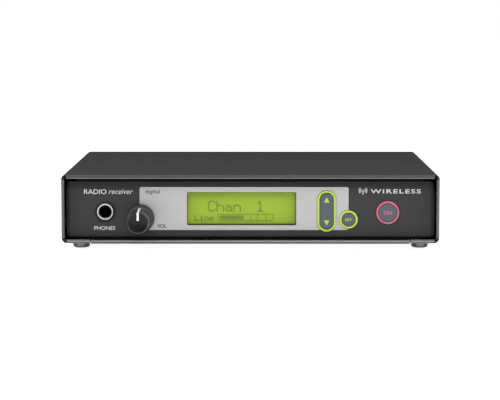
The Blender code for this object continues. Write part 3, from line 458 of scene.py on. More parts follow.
def paintCornerShade(name, settings):
    # painted shade: the cut front and rear edges at the cover's four corners, where nothing is folded
    # over, made dark and matt
    tree, shader, colour = colourOf(name)
    radius, half = sheetSettings["corner"] * mm, (caseHigh - caseLow) / 2 * mm
    centre = tuple(caseCentre * mm)
    parts = splitAxes(tree, vectorNode(tree, "SUBTRACT", {0: objectPlace(tree), 1: centre}))
    reach = []
    for axis, extent in (("X", half.x), ("Z", half.z)):
        away = mathNode(tree, "ABSOLUTE", parts[axis])
        reach.append(mathNode(tree, "SUBTRACT", away, extent - radius))
    corner = mathNode(tree, "GREATER_THAN", mathNode(tree, "MINIMUM", *reach), 0.0)
    apart = mathNode(tree, "MULTIPLY", reach[0], reach[0])
    apart = mathNode(tree, "SQRT", mathNode(tree, "MULTIPLY_ADD", reach[1], reach[1], apart))
    inside = mathNode(tree, "LESS_THAN", apart, radius - settings["cornerRim"] * mm)
    flat = endFaces(tree, settings["cornerFacing"])
    mask = mathNode(tree, "MULTIPLY", mathNode(tree, "MULTIPLY", corner, inside), flat)
    tree.links.new(blendColour(tree, mask, colour, grey(settings["cornerShade"])), shader["Base Color"])
    rough = shader["Roughness"].links[0].from_socket
    tree.links.new(mathNode(tree, "MAXIMUM", rough, mask), shader["Roughness"])


# for each edge: how far in the shade reaches and how dark it gets
shadeSettings = {"top": (6.0, 0.62), "bottom": (3.5, 0.82), "sides": (2.5, 0.35)}


def shadeEdges(name, settings):
    # painted shade: darker towards the edges of the recessed panel
    tree, shader, colour = colourOf(name)
    parts = splitAxes(tree, objectPlace(tree))
    for place, axis, edge, sign in (
        ("top", "Z", panelHigh.z, -1),
        ("bottom", "Z", panelLow.z, 1),
        ("sides", "X", panelHigh.x, -1),
    ):
        reach, least = settings[place]
        along = mathNode(tree, "ABSOLUTE", parts[axis])
        tone = mapRange(tree, along, edge * mm, (edge + sign * reach) * mm, least)
        colour = vectorNode(tree, "SCALE", {0: colour, "Scale": tone})
    tree.links.new(colour, shader["Base Color"])


# painted highlights along the case's rims, painted shade at its corners and along the panel's edges
paintRimHighlights("casePaint", rimLightAndCornerShade)
paintCornerShade("casePaint", rimLightAndCornerShade)
shadeEdges("panelPaint", shadeSettings)
# painted shade: the knob's forward face is made darker than its flank
paintLightFacing("knobPlastic", grey(0.003), 0.8, 0.95)
# painted highlight: a paler stripe down the front of each rubber foot
paintLightFacing("footRubber", grey(0.2), 0.82, 0.99)

boardSettings = {
    "first": (0.018, 0.12, 0.035, 1),
    "second": (0.022, 0.14, 0.045, 1),
    "track": (0.04, 0.21, 0.07, 1),
    "mask": (0.02, 0.1, 0.03, 1),
    "scale": 160.0,
    "trackWidth": 0.03,
    "relief": 0.00003,
    "gloss": (0.2, 0.25),
}


def boardMaterial(settings):
    # green solder mask with buried copper tracks
    tree, shader = newMaterial("boardGreen", (0.02, 0.12, 0.04), {})
    where = objectPlace(tree)
    values = {"Vector": where, "Color1": settings["first"], "Color2": settings["second"]}
    values.update({"Mortar": settings["track"], "Scale": settings["scale"]})
    values["Mortar Size"] = settings["trackWidth"]
    tracks = addNode(tree, "TexBrick", values).outputs
    colour = blendColour(tree, 0.25, tracks["Color"], settings["mask"])
    rough = mathNode(tree, "MULTIPLY_ADD", noise(tree, where, 900.0), *settings["gloss"])
    bump = addNode(tree, "Bump", {"Height": tracks["Fac"], "Distance": settings["relief"]})
    tree.links.new(colour, shader["Base Color"])
    tree.links.new(rough, shader["Roughness"])
    tree.links.new(bump.outputs[0], shader["Normal"])


screenSettings = {
    "middle": (0.272, 0.392, 0.03, 1),
    "edge": (0.258, 0.37, 0.031, 1),
    "frame": (0.19, 0.25, 0.03, 1),
    "shadeBelow": (0.06, 0.07, 0.02, 1),
    "dark": (0.125, 0.195, 0.026, 1),
    "lessDark": (0.14, 0.215, 0.03, 1),
    "lap": 0.0006,
    "fade": (0.0005, 0.009),
    "cloud": 0.3,
    "frameShadeWidth": 0.0005,
    "shadeBelowHeight": 0.0005,
}
glowValues = {"Emission Strength": 0.22, "Roughness": 0.5, "Specular IOR Level": 0.2}


def screenMaterial(settings):
    # back-lit display: even in the middle; the darkening towards its frame and the dark band below are
    # painted shade from the window's bezel
    tree, shader = newMaterial("screenGlow", settings["middle"], glowValues)
    low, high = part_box("display_window")
    lap = Vector((settings["lap"], 0, settings["lap"]))
    centre, half = (low + high) / 2, (high - low) / 2 - lap
    where = objectPlace(tree)
    parts = splitAxes(tree, vectorNode(tree, "SUBTRACT", {0: where, 1: tuple(centre)}))
    across = mathNode(tree, "SUBTRACT", half.x, mathNode(tree, "ABSOLUTE", parts["X"]))
    upright = mathNode(tree, "SUBTRACT", half.z, mathNode(tree, "ABSOLUTE", parts["Z"]))
    wall = mathNode(tree, "MINIMUM", across, upright)
    cloud = mathNode(tree, "SUBTRACT", noise(tree, where, 60.0, 1.0), 0.5)
    inward = mapRange(tree, wall, *settings["fade"])
    factor = mathNode(tree, "MULTIPLY_ADD", cloud, settings["cloud"], inward)
    colour = blendColour(tree, factor, settings["edge"], settings["middle"])
    # painted shade: a darker line round the screen's frame and a dark band along its bottom
    rim = mathNode(tree, "LESS_THAN", wall, settings["frameShadeWidth"])
    colour = blendColour(tree, rim, colour, settings["frame"])
    shadeBelow = mathNode(tree, "LESS_THAN", mathNode(tree, "ADD", parts["Z"], half.z), settings["shadeBelowHeight"])
    colour = blendColour(tree, shadeBelow, colour, settings["shadeBelow"])
    for target in ("Base Color", "Emission Color"):
        tree.links.new(colour, shader[target])


def segmentMaterial(settings):
    tree, shader = newMaterial("screenSegments", (0.19, 0.28, 0.032), glowValues)
    cloud = noise(tree, objectPlace(tree), 300.0, 1.0)
    colour = blendColour(tree, cloud, settings["dark"], settings["lessDark"])
    for target in ("Base Color", "Emission Color"):
        tree.links.new(colour, shader[target])


windowSettings = {
    "colours": ((0.02, 0.025, 0.015, 1), (0.03, 0.035, 0.02, 1)),
    "smears": 90.0,
    "gloss": (0.1, 0.15),
    "shader": {"Alpha": 0.06, "Specular IOR Level": 0.1},
}


def windowMaterial(settings):
    # clear acrylic: faint film of smears in its roughness
    tree, shader = newMaterial("windowClear", (0.9, 0.95, 0.85), settings["shader"])
    smear = noise(tree, objectPlace(tree), settings["smears"], 3.0)
    rough = mathNode(tree, "MULTIPLY_ADD", smear, *settings["gloss"])
    tree.links.new(blendColour(tree, smear, *settings["colours"]), shader["Base Color"])
    tree.links.new(rough, shader["Roughness"])


boardMaterial(boardSettings)
screenMaterial(screenSettings)
segmentMaterial(screenSettings)
windowMaterial(windowSettings)
print("materials made:", len(bpy.data.materials))


def standPiece(name, shape):
    # makes an object of a bmesh in millimetres
    bmesh.ops.scale(shape, vec=(mm, mm, mm), verts=shape.verts)
    mesh = bpy.data.meshes.new(name)
    shape.to_mesh(mesh)
    shape.free()
    piece = bpy.data.objects.new(name, mesh)
    scene.collection.objects.link(piece)
    return piece


def roundEdges(piece, width, angle):
    rounding = piece.modifiers.new("soften", "BEVEL")
    rounding.width = width * mm
    rounding.segments = 2
    rounding.limit_method = "ANGLE"
    rounding.angle_limit = math.radians(angle)
    return rounding


def keepFlats(piece):
    piece.modifiers.new("flats", "WEIGHTED_NORMAL").keep_sharp = True


def dressPiece(piece, name, finish, replaces=(), smooth=40, soften=0.0, body="case", slot=""):
    # soften rounds the piece's sharp edges by that much
    piece.name = name
    mesh = piece.data
    mesh.materials.clear()
    mesh.materials.append(bpy.data.materials[finish])
    mesh.shade_smooth()
    mesh.set_sharp_from_angle(angle=math.radians(smooth))
    if soften:
        roundEdges(piece, soften, 40).harden_normals = True
    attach(piece, body)
    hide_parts(*replaces)


def finishPiece(name, shape, finish, replaces=(), smooth=40, **more):
    piece = standPiece(name, shape)
    dressPiece(piece, name, finish, replaces, smooth, **more)
    return piece


def bakedMesh(piece):
    return bpy.data.meshes.new_from_object(piece.evaluated_get(bpy.context.evaluated_depsgraph_get()))


def settle(piece):
    # turns a piece's modifiers into its mesh
    fresh = bakedMesh(piece)
    piece.modifiers.clear()
    piece.data = fresh


def carve(piece, shape, operation="DIFFERENCE"):
    tool = standPiece("loose", shape)
    change = piece.modifiers.new("carve", "BOOLEAN")
    change.operation, change.solver, change.object = operation, "EXACT", tool
    settle(piece)
    bpy.data.objects.remove(tool, do_unlink=True)


def thicken(piece, thickness, offset):
    wall = piece.modifiers.new("wall", "SOLIDIFY")
    wall.thickness = thickness * mm
    wall.offset = offset
    wall.use_even_offset = True
    settle(piece)


def aim(shape, direction, place):
    bmesh.ops.transform(shape, matrix=Matrix.Translation(place) @ direction, verts=shape.verts)
    return shape


def strandOf(shape, places):
    # a line of points; its edges
    points = [shape.verts.new(place) for place in places]
    return [shape.edges.new(pair) for pair in zip(points, points[1:])]


def pushOut(shape, grown, by):
    # moves the points that an extrusion has made
    moved = [item for item in grown["geom"] if isinstance(item, bmesh.types.BMVert)]
    bmesh.ops.translate(shape, vec=by, verts=moved)


def turnedShape(profile, direction, place, steps=64, closed=False):
    # spins (radius, height) points round Z, then aims the shape
    shape = bmesh.new()
    edges = strandOf(shape, [(radius, 0, height) for radius, height in profile])
    points = shape.verts[:]
    if closed:
        edges.append(shape.edges.new((points[-1], points[0])))
    bmesh.ops.spin(
        shape, geom=points + edges, cent=(0, 0, 0), axis=(0, 0, 1), angle=math.tau, steps=steps,
        use_merge=True, use_duplicate=False,
    )
    bmesh.ops.remove_doubles(shape, verts=shape.verts, dist=0.0005)
    bmesh.ops.recalc_face_normals(shape, faces=shape.faces)
    return aim(shape, direction, place)


def fluteShape(shape, chosen, count, depth):
    # presses a wave of that depth into the chosen points, round Z
    for point in chosen:
        radius, angle = math.hypot(point.co.x, point.co.y), math.atan2(point.co.y, point.co.x)
        shrink = 1 - depth * (0.5 - 0.5 * math.cos(count * angle)) / radius
        bmesh.ops.scale(shape, vec=(shrink, shrink, 1), verts=[point])


def rodShape(radius, start, end, steps=32, tip=None):
    shape = bmesh.new()
    start, end = Vector(start), Vector(end)
    turn = (end - start).to_track_quat("Z", "Y").to_matrix().to_4x4()
    bmesh.ops.create_cone(
        shape, cap_ends=True, segments=steps, radius1=radius, radius2=radius if tip is None else tip,
        depth=(end - start).length, matrix=Matrix.Translation((start + end) / 2) @ turn,
    )
    return shape


def boreShape(radius, centre, front, back, steps=64):
    # a rod from front to back through a centre
    return rodShape(radius, (centre.x, front, centre.z), (centre.x, back, centre.z), steps)


def bevelEdges(shape, edges, width, steps, clamp=False):
    bmesh.ops.bevel(
        shape, geom=edges, offset=width, segments=steps, profile=0.5, affect="EDGES",
        clamp_overlap=clamp, material=-1,
    )
    return shape


def boxShape(low, high, corner=0.0, steps=6):
    # corner rounds the edges that run from front to back
    shape = bmesh.new()
    low, high = Vector(low), Vector(high)
    bmesh.ops.create_cube(shape, size=1.0)
    bmesh.ops.scale(shape, vec=high - low, verts=shape.verts)
    bmesh.ops.translate(shape, vec=(low + high) / 2, verts=shape.verts)
    if corner:
        runs = {edge: edge.verts[1].co - edge.verts[0].co for edge in shape.edges}
        along = [edge for edge, run in runs.items() if abs(run.normalized().y) > 0.999]
        bevelEdges(shape, along, corner, steps)
    return shape


def stadiumShape(centre, width, height, front, back, steps=96):
    # slot shape with round ends, standing in the X-Z plane
    shape = bmesh.new()
    radius = width / 2 / math.cos(math.pi / steps)
    bmesh.ops.create_cone(
        shape, cap_ends=True, segments=steps, radius1=radius, radius2=radius, depth=back - front
    )
    turn = Matrix.Rotation(math.pi / steps, 4, "Z")
    bmesh.ops.transform(shape, matrix=forward @ turn, verts=shape.verts)
    for half in (1, -1):
        chosen = [point for point in shape.verts if point.co.z * half > 0]
        bmesh.ops.translate(shape, vec=(0, 0, half * (height - width) / 2), verts=chosen)
    bmesh.ops.translate(shape, vec=(centre.x, (front + back) / 2, centre.z), verts=shape.verts)
    return shape


def softEdges(shape, width, angle=40):
    limit = math.radians(angle)
    pairs = [edge for edge in shape.edges if len(edge.link_faces) == 2]
    return bevelEdges(shape, [edge for edge in pairs if edge.calc_face_angle(0) > limit], width, 2, True)


def addShape(shape, other):
    # puts a second shape into the first one's mesh
    mesh = bpy.data.meshes.new("adding")
    other.to_mesh(mesh)
    other.free()
    shape.from_mesh(mesh)
    bpy.data.meshes.remove(mesh)


def meshShape(mesh, scale=1.0, merge=0.0005):
    # a mesh read into a bmesh, with its doubles merged
    shape = bmesh.new()
    shape.from_mesh(mesh)
    bmesh.ops.scale(shape, vec=(scale, scale, scale), verts=shape.verts)
    bmesh.ops.remove_doubles(shape, verts=shape.verts, dist=merge)
    return shape


def arc(centreX, centreZ, radius, first, last, steps):
    angles = [math.radians(first + (last - first) * step / steps) for step in range(steps + 1)]
    return [(centreX + radius * math.cos(turn), centreZ + radius * math.sin(turn)) for turn in angles]


def foldEdge(shape, low, high, inward, depth, outward):
    # bends the end edge between two (x, z) points inwards and runs it on as a rim
    fold = sheetSettings["fold"]
    end = caseLow.y + fold if outward.y < 0 else caseHigh.y - fold
    ends = [Vector((low[0], end, low[1])), Vector((high[0], end, high[1]))]
    chosen = [
        edge
        for edge in shape.edges
        if all(min((point.co - place).length for place in ends) < 0.01 for point in edge.verts)
    ]
    bend = bmesh.ops.spin(
        shape, geom=chosen + list(chosen[0].verts), cent=ends[0] + inward * fold,
        axis=(-inward).cross(outward), angle=math.pi / 2, steps=sheetSettings["foldSteps"],
        use_duplicate=False,
    )["geom_last"]
    last = [item for item in bend if isinstance(item, bmesh.types.BMEdge)]
    pushOut(shape, bmesh.ops.extrude_edge_only(shape, edges=last), inward * (depth - fold))


def foldedSheet(outline, rims):
    fold = sheetSettings["fold"]
    front, back = caseLow.y + fold, caseHigh.y - fold
    shape = bmesh.new()
    edges = strandOf(shape, [(x, front, z) for x, z in outline])
    pushOut(shape, bmesh.ops.extrude_edge_only(shape, edges=edges), (0, back - front, 0))
    for low, high, inward, depth in rims:
        for way in (-1, 1):
            foldEdge(shape, low, high, Vector(inward), depth, Vector((0, way, 0)))
    bmesh.ops.recalc_face_normals(shape, faces=shape.faces)
    largest = max(shape.faces, key=lambda face: face.calc_area())
    if largest.normal.dot(largest.calc_center_median() - caseCentre) < 0:
        bmesh.ops.reverse_faces(shape, faces=shape.faces)
    piece = standPiece("loose", shape)
    thicken(piece, sheetSettings["thickness"], -1)
    return piece


def softenCutEdges(piece):
    # rounds the sheared edges of a sheet a little and keeps its flats flat
    shape = softEdges(meshShape(piece.data, merge=0.000001), sheetSettings["cutEdge"] * mm, 50)
    shape.to_mesh(piece.data)
    shape.free()
    keepFlats(piece)


sinkSettings = {"under": 3.6, "over": 1.2, "small": 1.5, "large": 5.1}


def makeCover(settings):
    radius, steps = sheetSettings["corner"], sheetSettings["cornerSteps"]
    half, low, high = caseHigh.x, caseLow.z, caseHigh.z
    inner, edge = half - radius, sheetSettings["lapEdge"]
    outline = [(-edge, low)]
    for x, z, first in ((-1, low + radius, 270), (-1, high - radius, 180), (1, high - radius, 90)):
        outline += arc(x * inner, z, radius, first, first - 90, steps)
    outline += arc(inner, low + radius, radius, 0, -90, steps) + [(edge, low)]
    sideRim, topRim, bottomRim = (sheetSettings[key] for key in ("sideRim", "topRim", "bottomRim"))
    rims = [
        ((-edge, low), (-inner, low), (0, 0, 1), bottomRim),
        ((-half, low + radius), (-half, high - radius), (1, 0, 0), sideRim),
        ((-inner, high), (inner, high), (0, 0, -1), topRim),
        ((half, low + radius), (half, high - radius), (-1, 0, 0), sideRim),
        ((inner, low), (edge, low), (0, 0, 1), bottomRim),
    ]
    cover = foldedSheet(outline, rims)
    for side, way in sides.items():
        for place in ("front", "rear"):
            screw = span(f"side_screw_{side}_{place}")[2]
            start = (way * (half - settings["under"]), screw.y, screw.z)
            end = (way * (half + settings["over"]), screw.y, screw.z)
            carve(cover, rodShape(settings["small"], start, end, 48, settings["large"]))
    softenCutEdges(cover)
    dressPiece(cover, "cover", "casePaint", ["case_cover"], 35)


chassisSettings = {
    "step": 2.0,
    "ledge": 1.8,
    "chamfer": 1.0,
    "wallTop": 34.0,
    "railFront": 8.0,
    "railBack": 0.6,
    "tab": (5, 6, 4),
    "tabGap": 0.5,
    "tabHole": 1.8,
    "sideHole": 2.3,
    "post": 3.0,
    "postInset": (18, 6, 8),
    "postGap": 0.3,
}


def railShape(side, settings):
    # step, ledge and side wall of the chassis, behind the front panel
    low, high, _ = span("chassis")
    thickness, chamfer, top = sheetSettings["thickness"], settings["chamfer"], settings["wallTop"]
    inside, wall = sheetSettings["floorEdge"] - settings["step"], high.x
    ledge = low.z + settings["ledge"]
    outline = [
        (inside, low.z + thickness / 2),
        (inside + thickness, low.z + thickness / 2),
        (inside + thickness, ledge),
        (wall - chamfer, ledge),
        (wall, ledge + chamfer),
        (wall, top),
        (wall - thickness, top),
        (wall - thickness, ledge + thickness),
        (inside, ledge + thickness),
    ]
    shape = bmesh.new()
    front, back = panelHigh.y + settings["railFront"], caseHigh.y - thickness - settings["railBack"]
    corners = [shape.verts.new((side * x, front, z)) for x, z in outline]
    grown = bmesh.ops.extrude_face_region(shape, geom=[shape.faces.new(corners)])
    pushOut(shape, grown, (0, back - front, 0))
    bmesh.ops.recalc_face_normals(shape, faces=shape.faces)
    return shape


def makeChassis(settings):
    low, high, _ = span("chassis")
    edge, thickness = sheetSettings["floorEdge"], sheetSettings["thickness"]
    ends = ((-edge, low.z), (edge, low.z))
    floor = foldedSheet(ends, [(*ends, (0, 0, 1), sheetSettings["bottomRim"])])
    softenCutEdges(floor)
    back = rearLow.y - settings["tabGap"]
    half, under, over = settings["tab"]
    screw = span("rear_screw_right")[2]
    for side in (-1, 1):
        carve(floor, railShape(side, settings), "UNION")
        hole = Vector((side * screw.x, 0, screw.z))
        tab = ((hole.x - half, back - thickness, hole.z - under), (hole.x + half, back, hole.z + over))
        carve(floor, boxShape(*tab), "UNION")
        carve(floor, boreShape(settings["tabHole"], hole, back - 4, back + 4, 24))
        for place in ("front", "rear"):
            spot = span(f"side_screw_right_{place}")[2]
            start, end = ((side * (high.x + away), spot.y, spot.z) for away in (-5, 1))
            carve(floor, rodShape(settings["sideHole"], start, end, 24))
    board, boardHigh, _ = span("main_board")
    side, front, rear = settings["postInset"]
    for x in (board.x + side, boardHigh.x - side):
        for y in (board.y + front, boardHigh.y - rear):
            top = (x, y, board.z - settings["postGap"])
            carve(floor, rodShape(settings["post"], (x, y, low.z + thickness / 2), top), "UNION")
    dressPiece(floor, "chassis_pan", "casePaint", ["chassis"], 35)


footSettings = {"rounding": 1.5, "topEdge": 0.3, "dish": 0.35, "dishRadius": 2.0, "dishEdge": 0.4}


def makeFeet(settings):
    rounding, edge, dish, hollow, slope = settings.values()
    for place in ("front", "rear"):
        for side in sides:
            node = f"foot_{place}_{side}"
            low, high, centre = span(node)
            radius, height = (high.x - low.x) / 2, high.z - low.z
            profile = [(0, height), (radius - edge, height), (radius, height - edge)]
            profile += arc(radius - rounding, rounding, rounding, 0, -90, 8)
            profile += [(hollow + slope, 0), (hollow, dish), (0, dish)]
            shape = turnedShape(profile, upward, (centre.x, centre.y, low.z), 48)
            finishPiece(f"rubber_foot_{place}_{side}", shape, "footRubber", [node])


# a cross recess has a length, a width and a depth
screwSettings = {
    "cross": (3.4, 0.75, 1.3),
    "headEdge": (0.15, 0.12),
    "shank": 2.0,
    "root": 1.75,
    "tip": 1.6,
    "turns": 8,
    "pitch": 0.5,
    "panelCross": (3.0, 0.6, 0.9),
    "panelShank": (1.5, 6.3),
    "panelRise": 0.2,
    "panelDome": 0.4,
}


def makeScrew(name, profile, direction, place, top, cross, nodes):
    screw = standPiece("loose", turnedShape(profile, direction, place, 32))
    length, width, depth = cross
    for x, y in ((length / 2, width / 2), (width / 2, length / 2)):
        carve(screw, aim(boxShape((-x, -y, -depth), (x, y, 2.0)), direction, top))
    dressPiece(screw, name, "screwSteel", nodes, 30)


def makeScrews(settings):
    shank, pitch = settings["shank"], settings["pitch"]
    inset, rise = settings["headEdge"]
    for side, direction in sideways.items():
        for place in ("front", "rear"):
            node = f"side_screw_{side}_{place}"
            low, high, centre = span(node)
            radius, length = (high.z - low.z) / 2, high.x - low.x
            face = Vector((high.x if side == "right" else low.x, centre.y, centre.z))
            neck = shank - radius
            profile = [(0, 0), (radius - inset, 0), (radius, -rise), (shank, neck)]
            for turn in range(settings["turns"]):
                z = neck - 0.2 - turn * pitch
                profile += [(shank, z), (settings["root"], z - pitch / 2)]
            profile += [(settings["tip"], -length), (0, -length)]
            name = f"countersunk_screw_{side}_{place}"
            makeScrew(name, profile, direction, face, face, settings["cross"], [node])
    shank, length = settings["panelShank"]
    for side in sides:
        node = f"rear_screw_{side}"
        low, high, centre = span(node)
        place = Vector((centre.x, rearHigh.y + settings["panelRise"], centre.z))
        radius, head = (high.x - low.x) / 2, high.y - place.y
        dome = arc(0, settings["panelDome"], radius, 62, 8, 6)
        profile = [(0, head)] + [(reach, min(z, head)) for reach, z in dome]
        profile += [(radius, 0), (shank, 0), (shank, -length), (0, -length)]
        top = place + Vector((0, head, 0))
        makeScrew(f"panel_screw_{side}", profile, backward, place, top, settings["panelCross"], [node])


makeCover(sinkSettings)
makeChassis(chassisSettings)
makeFeet(footSettings)
makeScrews(screwSettings)
print("case made")


def softenNode(node, name, finish, width):
    # the CAD node's own shape, merged, with its sharp edges rounded
    shape = meshShape(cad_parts[node].data, 1 / mm)
    limit = math.radians(1)
    bmesh.ops.dissolve_limit(shape, angle_limit=limit, verts=shape.verts, edges=shape.edges)
    piece = finishPiece(name, shape, finish, [node], 30)
    roundEdges(piece, width, 50)
    keepFlats(piece)


printSettings = {"lift": 0.02, "thickness": 0.03, "size": 10.0, "curveSteps": 4}


def textShape(text, width, height, weight, slant, spacing):
    # letters in a box of that width and capital height, standing in the X-Z plane
    data = bpy.data.curves.new("letters", "FONT")
    data.body, data.size, data.extrude = text, printSettings["size"], 1.0
    data.offset, data.shear, data.space_character = weight, slant, spacing
    data.resolution_u = printSettings["curveSteps"]
    letters = bpy.data.objects.new("letters", data)
    scene.collection.objects.link(letters)
    mesh = bakedMesh(letters)
    bpy.data.objects.remove(letters, do_unlink=True)
    shape = meshShape(mesh, merge=0.0001)
    bpy.data.meshes.remove(mesh)
    low, high = (
        Vector([limit(point.co[axis] for point in shape.verts) for axis in (0, 1)] + [0])
        for limit in (min, max)
    )
    bmesh.ops.translate(shape, vec=-(low + high) / 2, verts=shape.verts)
    size = high - low
    grow = (width / size.x, height / size.y, printSettings["thickness"] / 2)
    bmesh.ops.scale(shape, vec=grow, verts=shape.verts)
    bmesh.ops.transform(shape, matrix=forward, verts=shape.verts)
    return shape


def printText(name, text, box, face, finish, weight, slant=0.0, spacing=1.0, body="case"):
    # box is (left, right, low, high) of the letters; face is the depth that they lie at
    left, right, low, high = box
    shape = textShape(text, right - left, high - low, weight, slant, spacing)
    if face > 0:
        bmesh.ops.rotate(shape, matrix=Matrix.Rotation(math.pi, 3, "Z"), verts=shape.verts)
    place = ((left + right) / 2, face, (low + high) / 2)
    bmesh.ops.translate(shape, vec=place, verts=shape.verts)
    finishPiece(f"printed_{name}", shape, finish, body=body)


# for each print: its words, box, ink, weight, slant and letter spacing
frontPrints = {
    "title": ("RADIO", (-93.84, -81.2, 31.5, 34.25), "paleInk", 0.07, 0.0, 1.0),
    "subtitle": ("receiver", (-79.9, -66.2, 31.5, 34.25), "paleInk", 0.0, 0.25, 1.0),
    "phones": ("PHONES", (-88.1, -76.4, 11.15, 13.3), "paleInk", 0.06, 0.0, 1.0),
    "digital": ("digital", (-59.35, -51.1, 31.2, 34.1), "softInk", 0.22, 0.0, 1.0),
    "vol": ("VOL", (-52.7, -47.4, 12.35, 14.55), "blackInk", 0.18, 0.0, 1.0),
    "maker": ("WIRELESS", (67.7, 96.1, 31.9, 34.3), "paleInk", 0.16, 0.0, 1.2),
}
badgeSettings = {
    "box": (60.9, 66.0, 31.2, 35.0),
    "mastTop": 0.62,
    "hub": 0.16,
    "line": 0.1,
    "waves": (0.5, 0.85),
    "spread": 42,
    "overlap": 0.02,
}


def makeBadge(settings, face):
    # antenna with two radio waves on each side
    left, right, low, high = settings["box"]
    scale, thickness, over = (right - left) / 2, printSettings["thickness"], settings["overlap"]
    top = Vector(((left + right) / 2, 0, low + (high - low) * settings["mastTop"]))
    half = settings["line"] * scale
    shape = bmesh.new()
    addShape(shape, boreShape(settings["hub"] * scale, top, face, face - thickness, 24))
    addShape(shape, boxShape((top.x - half, face - thickness, low), (top.x + half, face, top.z)))
    for wave in settings["waves"]:
        for turn in (0, 180):
            limits = (turn - settings["spread"], turn + settings["spread"])
            points = [Vector((x, 0, z)) for x, z in arc(top.x, top.z, wave * scale, *limits, 12)]
            for first, second in zip(points, points[1:]):
                run = second - first
                corner = Vector((run.length / 2 + over, thickness / 2, half))
                spot = (first + second) / 2 + Vector((0, face - thickness / 2, 0))
                slope = Matrix.Rotation(-math.atan2(run.z, run.x), 4, "Y")
                addShape(shape, aim(boxShape(-corner, corner), slope, spot))
    finishPiece("printed_badge", shape, "paleInk")


shadeBlockSettings = {"half": 98.0, "front": 0.3, "back": 3.3, "high": (-0.9, -1.35), "low": (1.35, 0.8)}


def makeShadeBlocks(settings):
    # dark blocks behind the panel's upper and lower edges: painted shade that keeps the gaps above and
    # below the panel dark
    half, start, end = settings["half"], panelHigh.y + settings["front"], panelHigh.y + settings["back"]
    for name, (first, second), below, above in (
        ("upper", settings["high"], panelHigh.z, caseHigh.z),
        ("lower", settings["low"], caseLow.z, panelLow.z),
    ):
        shape = boxShape((-half, start, below + first), (half, end, above + second))
        finishPiece(f"seal_{name}", shape, "blackPlastic")


makeShadeBlocks(shadeBlockSettings)
softenNode("front_panel", "front_plate", "panelPaint", 0.08)
softenNode("silver_fascia", "silver_sheet", "silverSheet", 0.06)
softenNode("display_window", "clear_window", "windowClear", 0.1)
printFace = panelLow.y - printSettings["lift"]
for printName, (words, wordBox, *lettering) in frontPrints.items():
    printText(printName, words, wordBox, printFace, *lettering)
makeBadge(badgeSettings, printFace)
print("front panel made")

screenLayout = {
    "pitch": 0.46,
    "dot": 0.43,
    "boldDot": 0.6,
    "smallDot": 0.54,
    "thickness": 0.04,
    "big": (-23.95, 27.45),
    "bigStep": 4.77,
    "one": (3.4, 27.45),
    "small": (-31.5, 19.4),
    "smallStep": 2.76,
    "bar": (-18.6, 20.0),
    "barColumns": 69,
    "barRows": 9,
    "fill": range(3, 32),
    "ticks": (40, 49, 59),
    "corner": 0.4,
    "edge": 0.1,
    "gap": 0.02,
}
bigGlyphs = {
    "C": "..#####.. .#.....#. #.......# #........ #........ #........ #........ #........ "
    "#........ #........ #.......# .#.....#. ..#####..",
    "h": "#........ #........ #........ #........ #........ #.#####.. ##.....#. #.......# "
    "#.......# #.......# #.......# #.......# #.......#",
    "a": "......... ......... ......... ......... ......... .#####... ......#.. .......#. "
    "..######. .#.....#. #......#. .#....##. ..####.##",
    "n": "......... ......... ......... ......... ......... #.#####.. ##.....#. #.......# "
    "#.......# #.......# #.......# #.......# #.......#",
    "1": "....#.... ..###.... .#..#.... ....#.... ....#.... ....#.... ....#.... ....#.... "
    "....#.... ....#.... ....#.... ....#.... .#######.",
}
smallGlyphs = {
    "L": "#.... #.... #.... #.... #.... #.... #####",
    "i": "..#.. ..... .##.. ..#.. ..#.. ..#.. .###.",
    "n": "..... ..... #.##. ##..# #...# #...# #...#",
    "e": "..... ..... .###. #...# ##### #.... .###.",
}


def glyphDots(glyph, left, top, pitch, size):
    for row, line in enumerate(glyph.split()):
        for column, mark in enumerate(line):
            if mark == "#":
                yield left + column * pitch, top - row * pitch, size


def barDots(layout):
    columns, rows, pitch = layout["barColumns"], layout["barRows"], layout["pitch"]
    left, top = layout["bar"]
    for column in range(columns):
        for row in range(rows):
            side, end = column in (0, columns - 1), row in (0, rows - 1)
            filled = column in layout["fill"] and 2 <= row <= rows - 3
            tick = column in layout["ticks"] and not end
            if side != end or filled or tick:
                yield left + column * pitch, top - row * pitch, layout["dot"]


def makeScreen(layout):
    low, high, _ = span("lcd_glass")
    shape = softEdges(boxShape(low, high, layout["corner"]), layout["edge"])
    finishPiece("screen_glass", shape, "screenGlow", ["lcd_glass"])
    dots, pitch, thickness = [], layout["pitch"], layout["thickness"]
    left, top = layout["big"]
    for number, letter in enumerate("Chan"):
        place = (left + number * layout["bigStep"], top)
        dots += glyphDots(bigGlyphs[letter], *place, pitch, layout["boldDot"])
    dots += glyphDots(bigGlyphs["1"], *layout["one"], pitch, layout["boldDot"])
    left, top = layout["small"]
    for number, letter in enumerate("Line"):
        place = (left + number * layout["smallStep"], top)
        dots += glyphDots(smallGlyphs[letter], *place, pitch, layout["smallDot"])
    dots += barDots(layout)
    marks = bmesh.new()
    depth = low.y - layout["gap"] - thickness / 2
    for x, z, size in dots:
        made = bmesh.ops.create_cube(marks, size=1.0)["verts"]
        bmesh.ops.scale(marks, vec=(size, thickness, size), verts=made)
        bmesh.ops.translate(marks, vec=(x + size / 2, depth, z - size / 2), verts=made)
    finishPiece("screen_segments", marks, "screenSegments")


makeScreen(screenLayout)
print("display made")

# for each round key: ring radii, cap radius, ring plastic, words, their half size, ink and body
keySettings = {
    "edge": 0.35,
    "ringEdge": 0.55,
    "ringLip": 0.35,
    "crown": 0.06,
    "step": 0.7,
    "boss": (1.5, 0.4),
    "printGap": 0.02,
    "set": (5.22, 4.0, 3.85, "limePlastic", "SET", (1.95, 0.75), "limeInk", "set_key"),
    "power": (6.55, 5.4, 5.25, "pinkPlastic", "ON", (2.3, 1.05), "pinkInk", "power_key"),
}
rockerSettings = {
    "slot": (7.9, 20.9),
    "ringEdge": 0.5,
    "capInset": (1.9, 1.7),
    "capDepth": 4.6,
    "arrow": (3.1, 2.9),
    "arrows": {"up": 28.3, "down": 15.25},
}


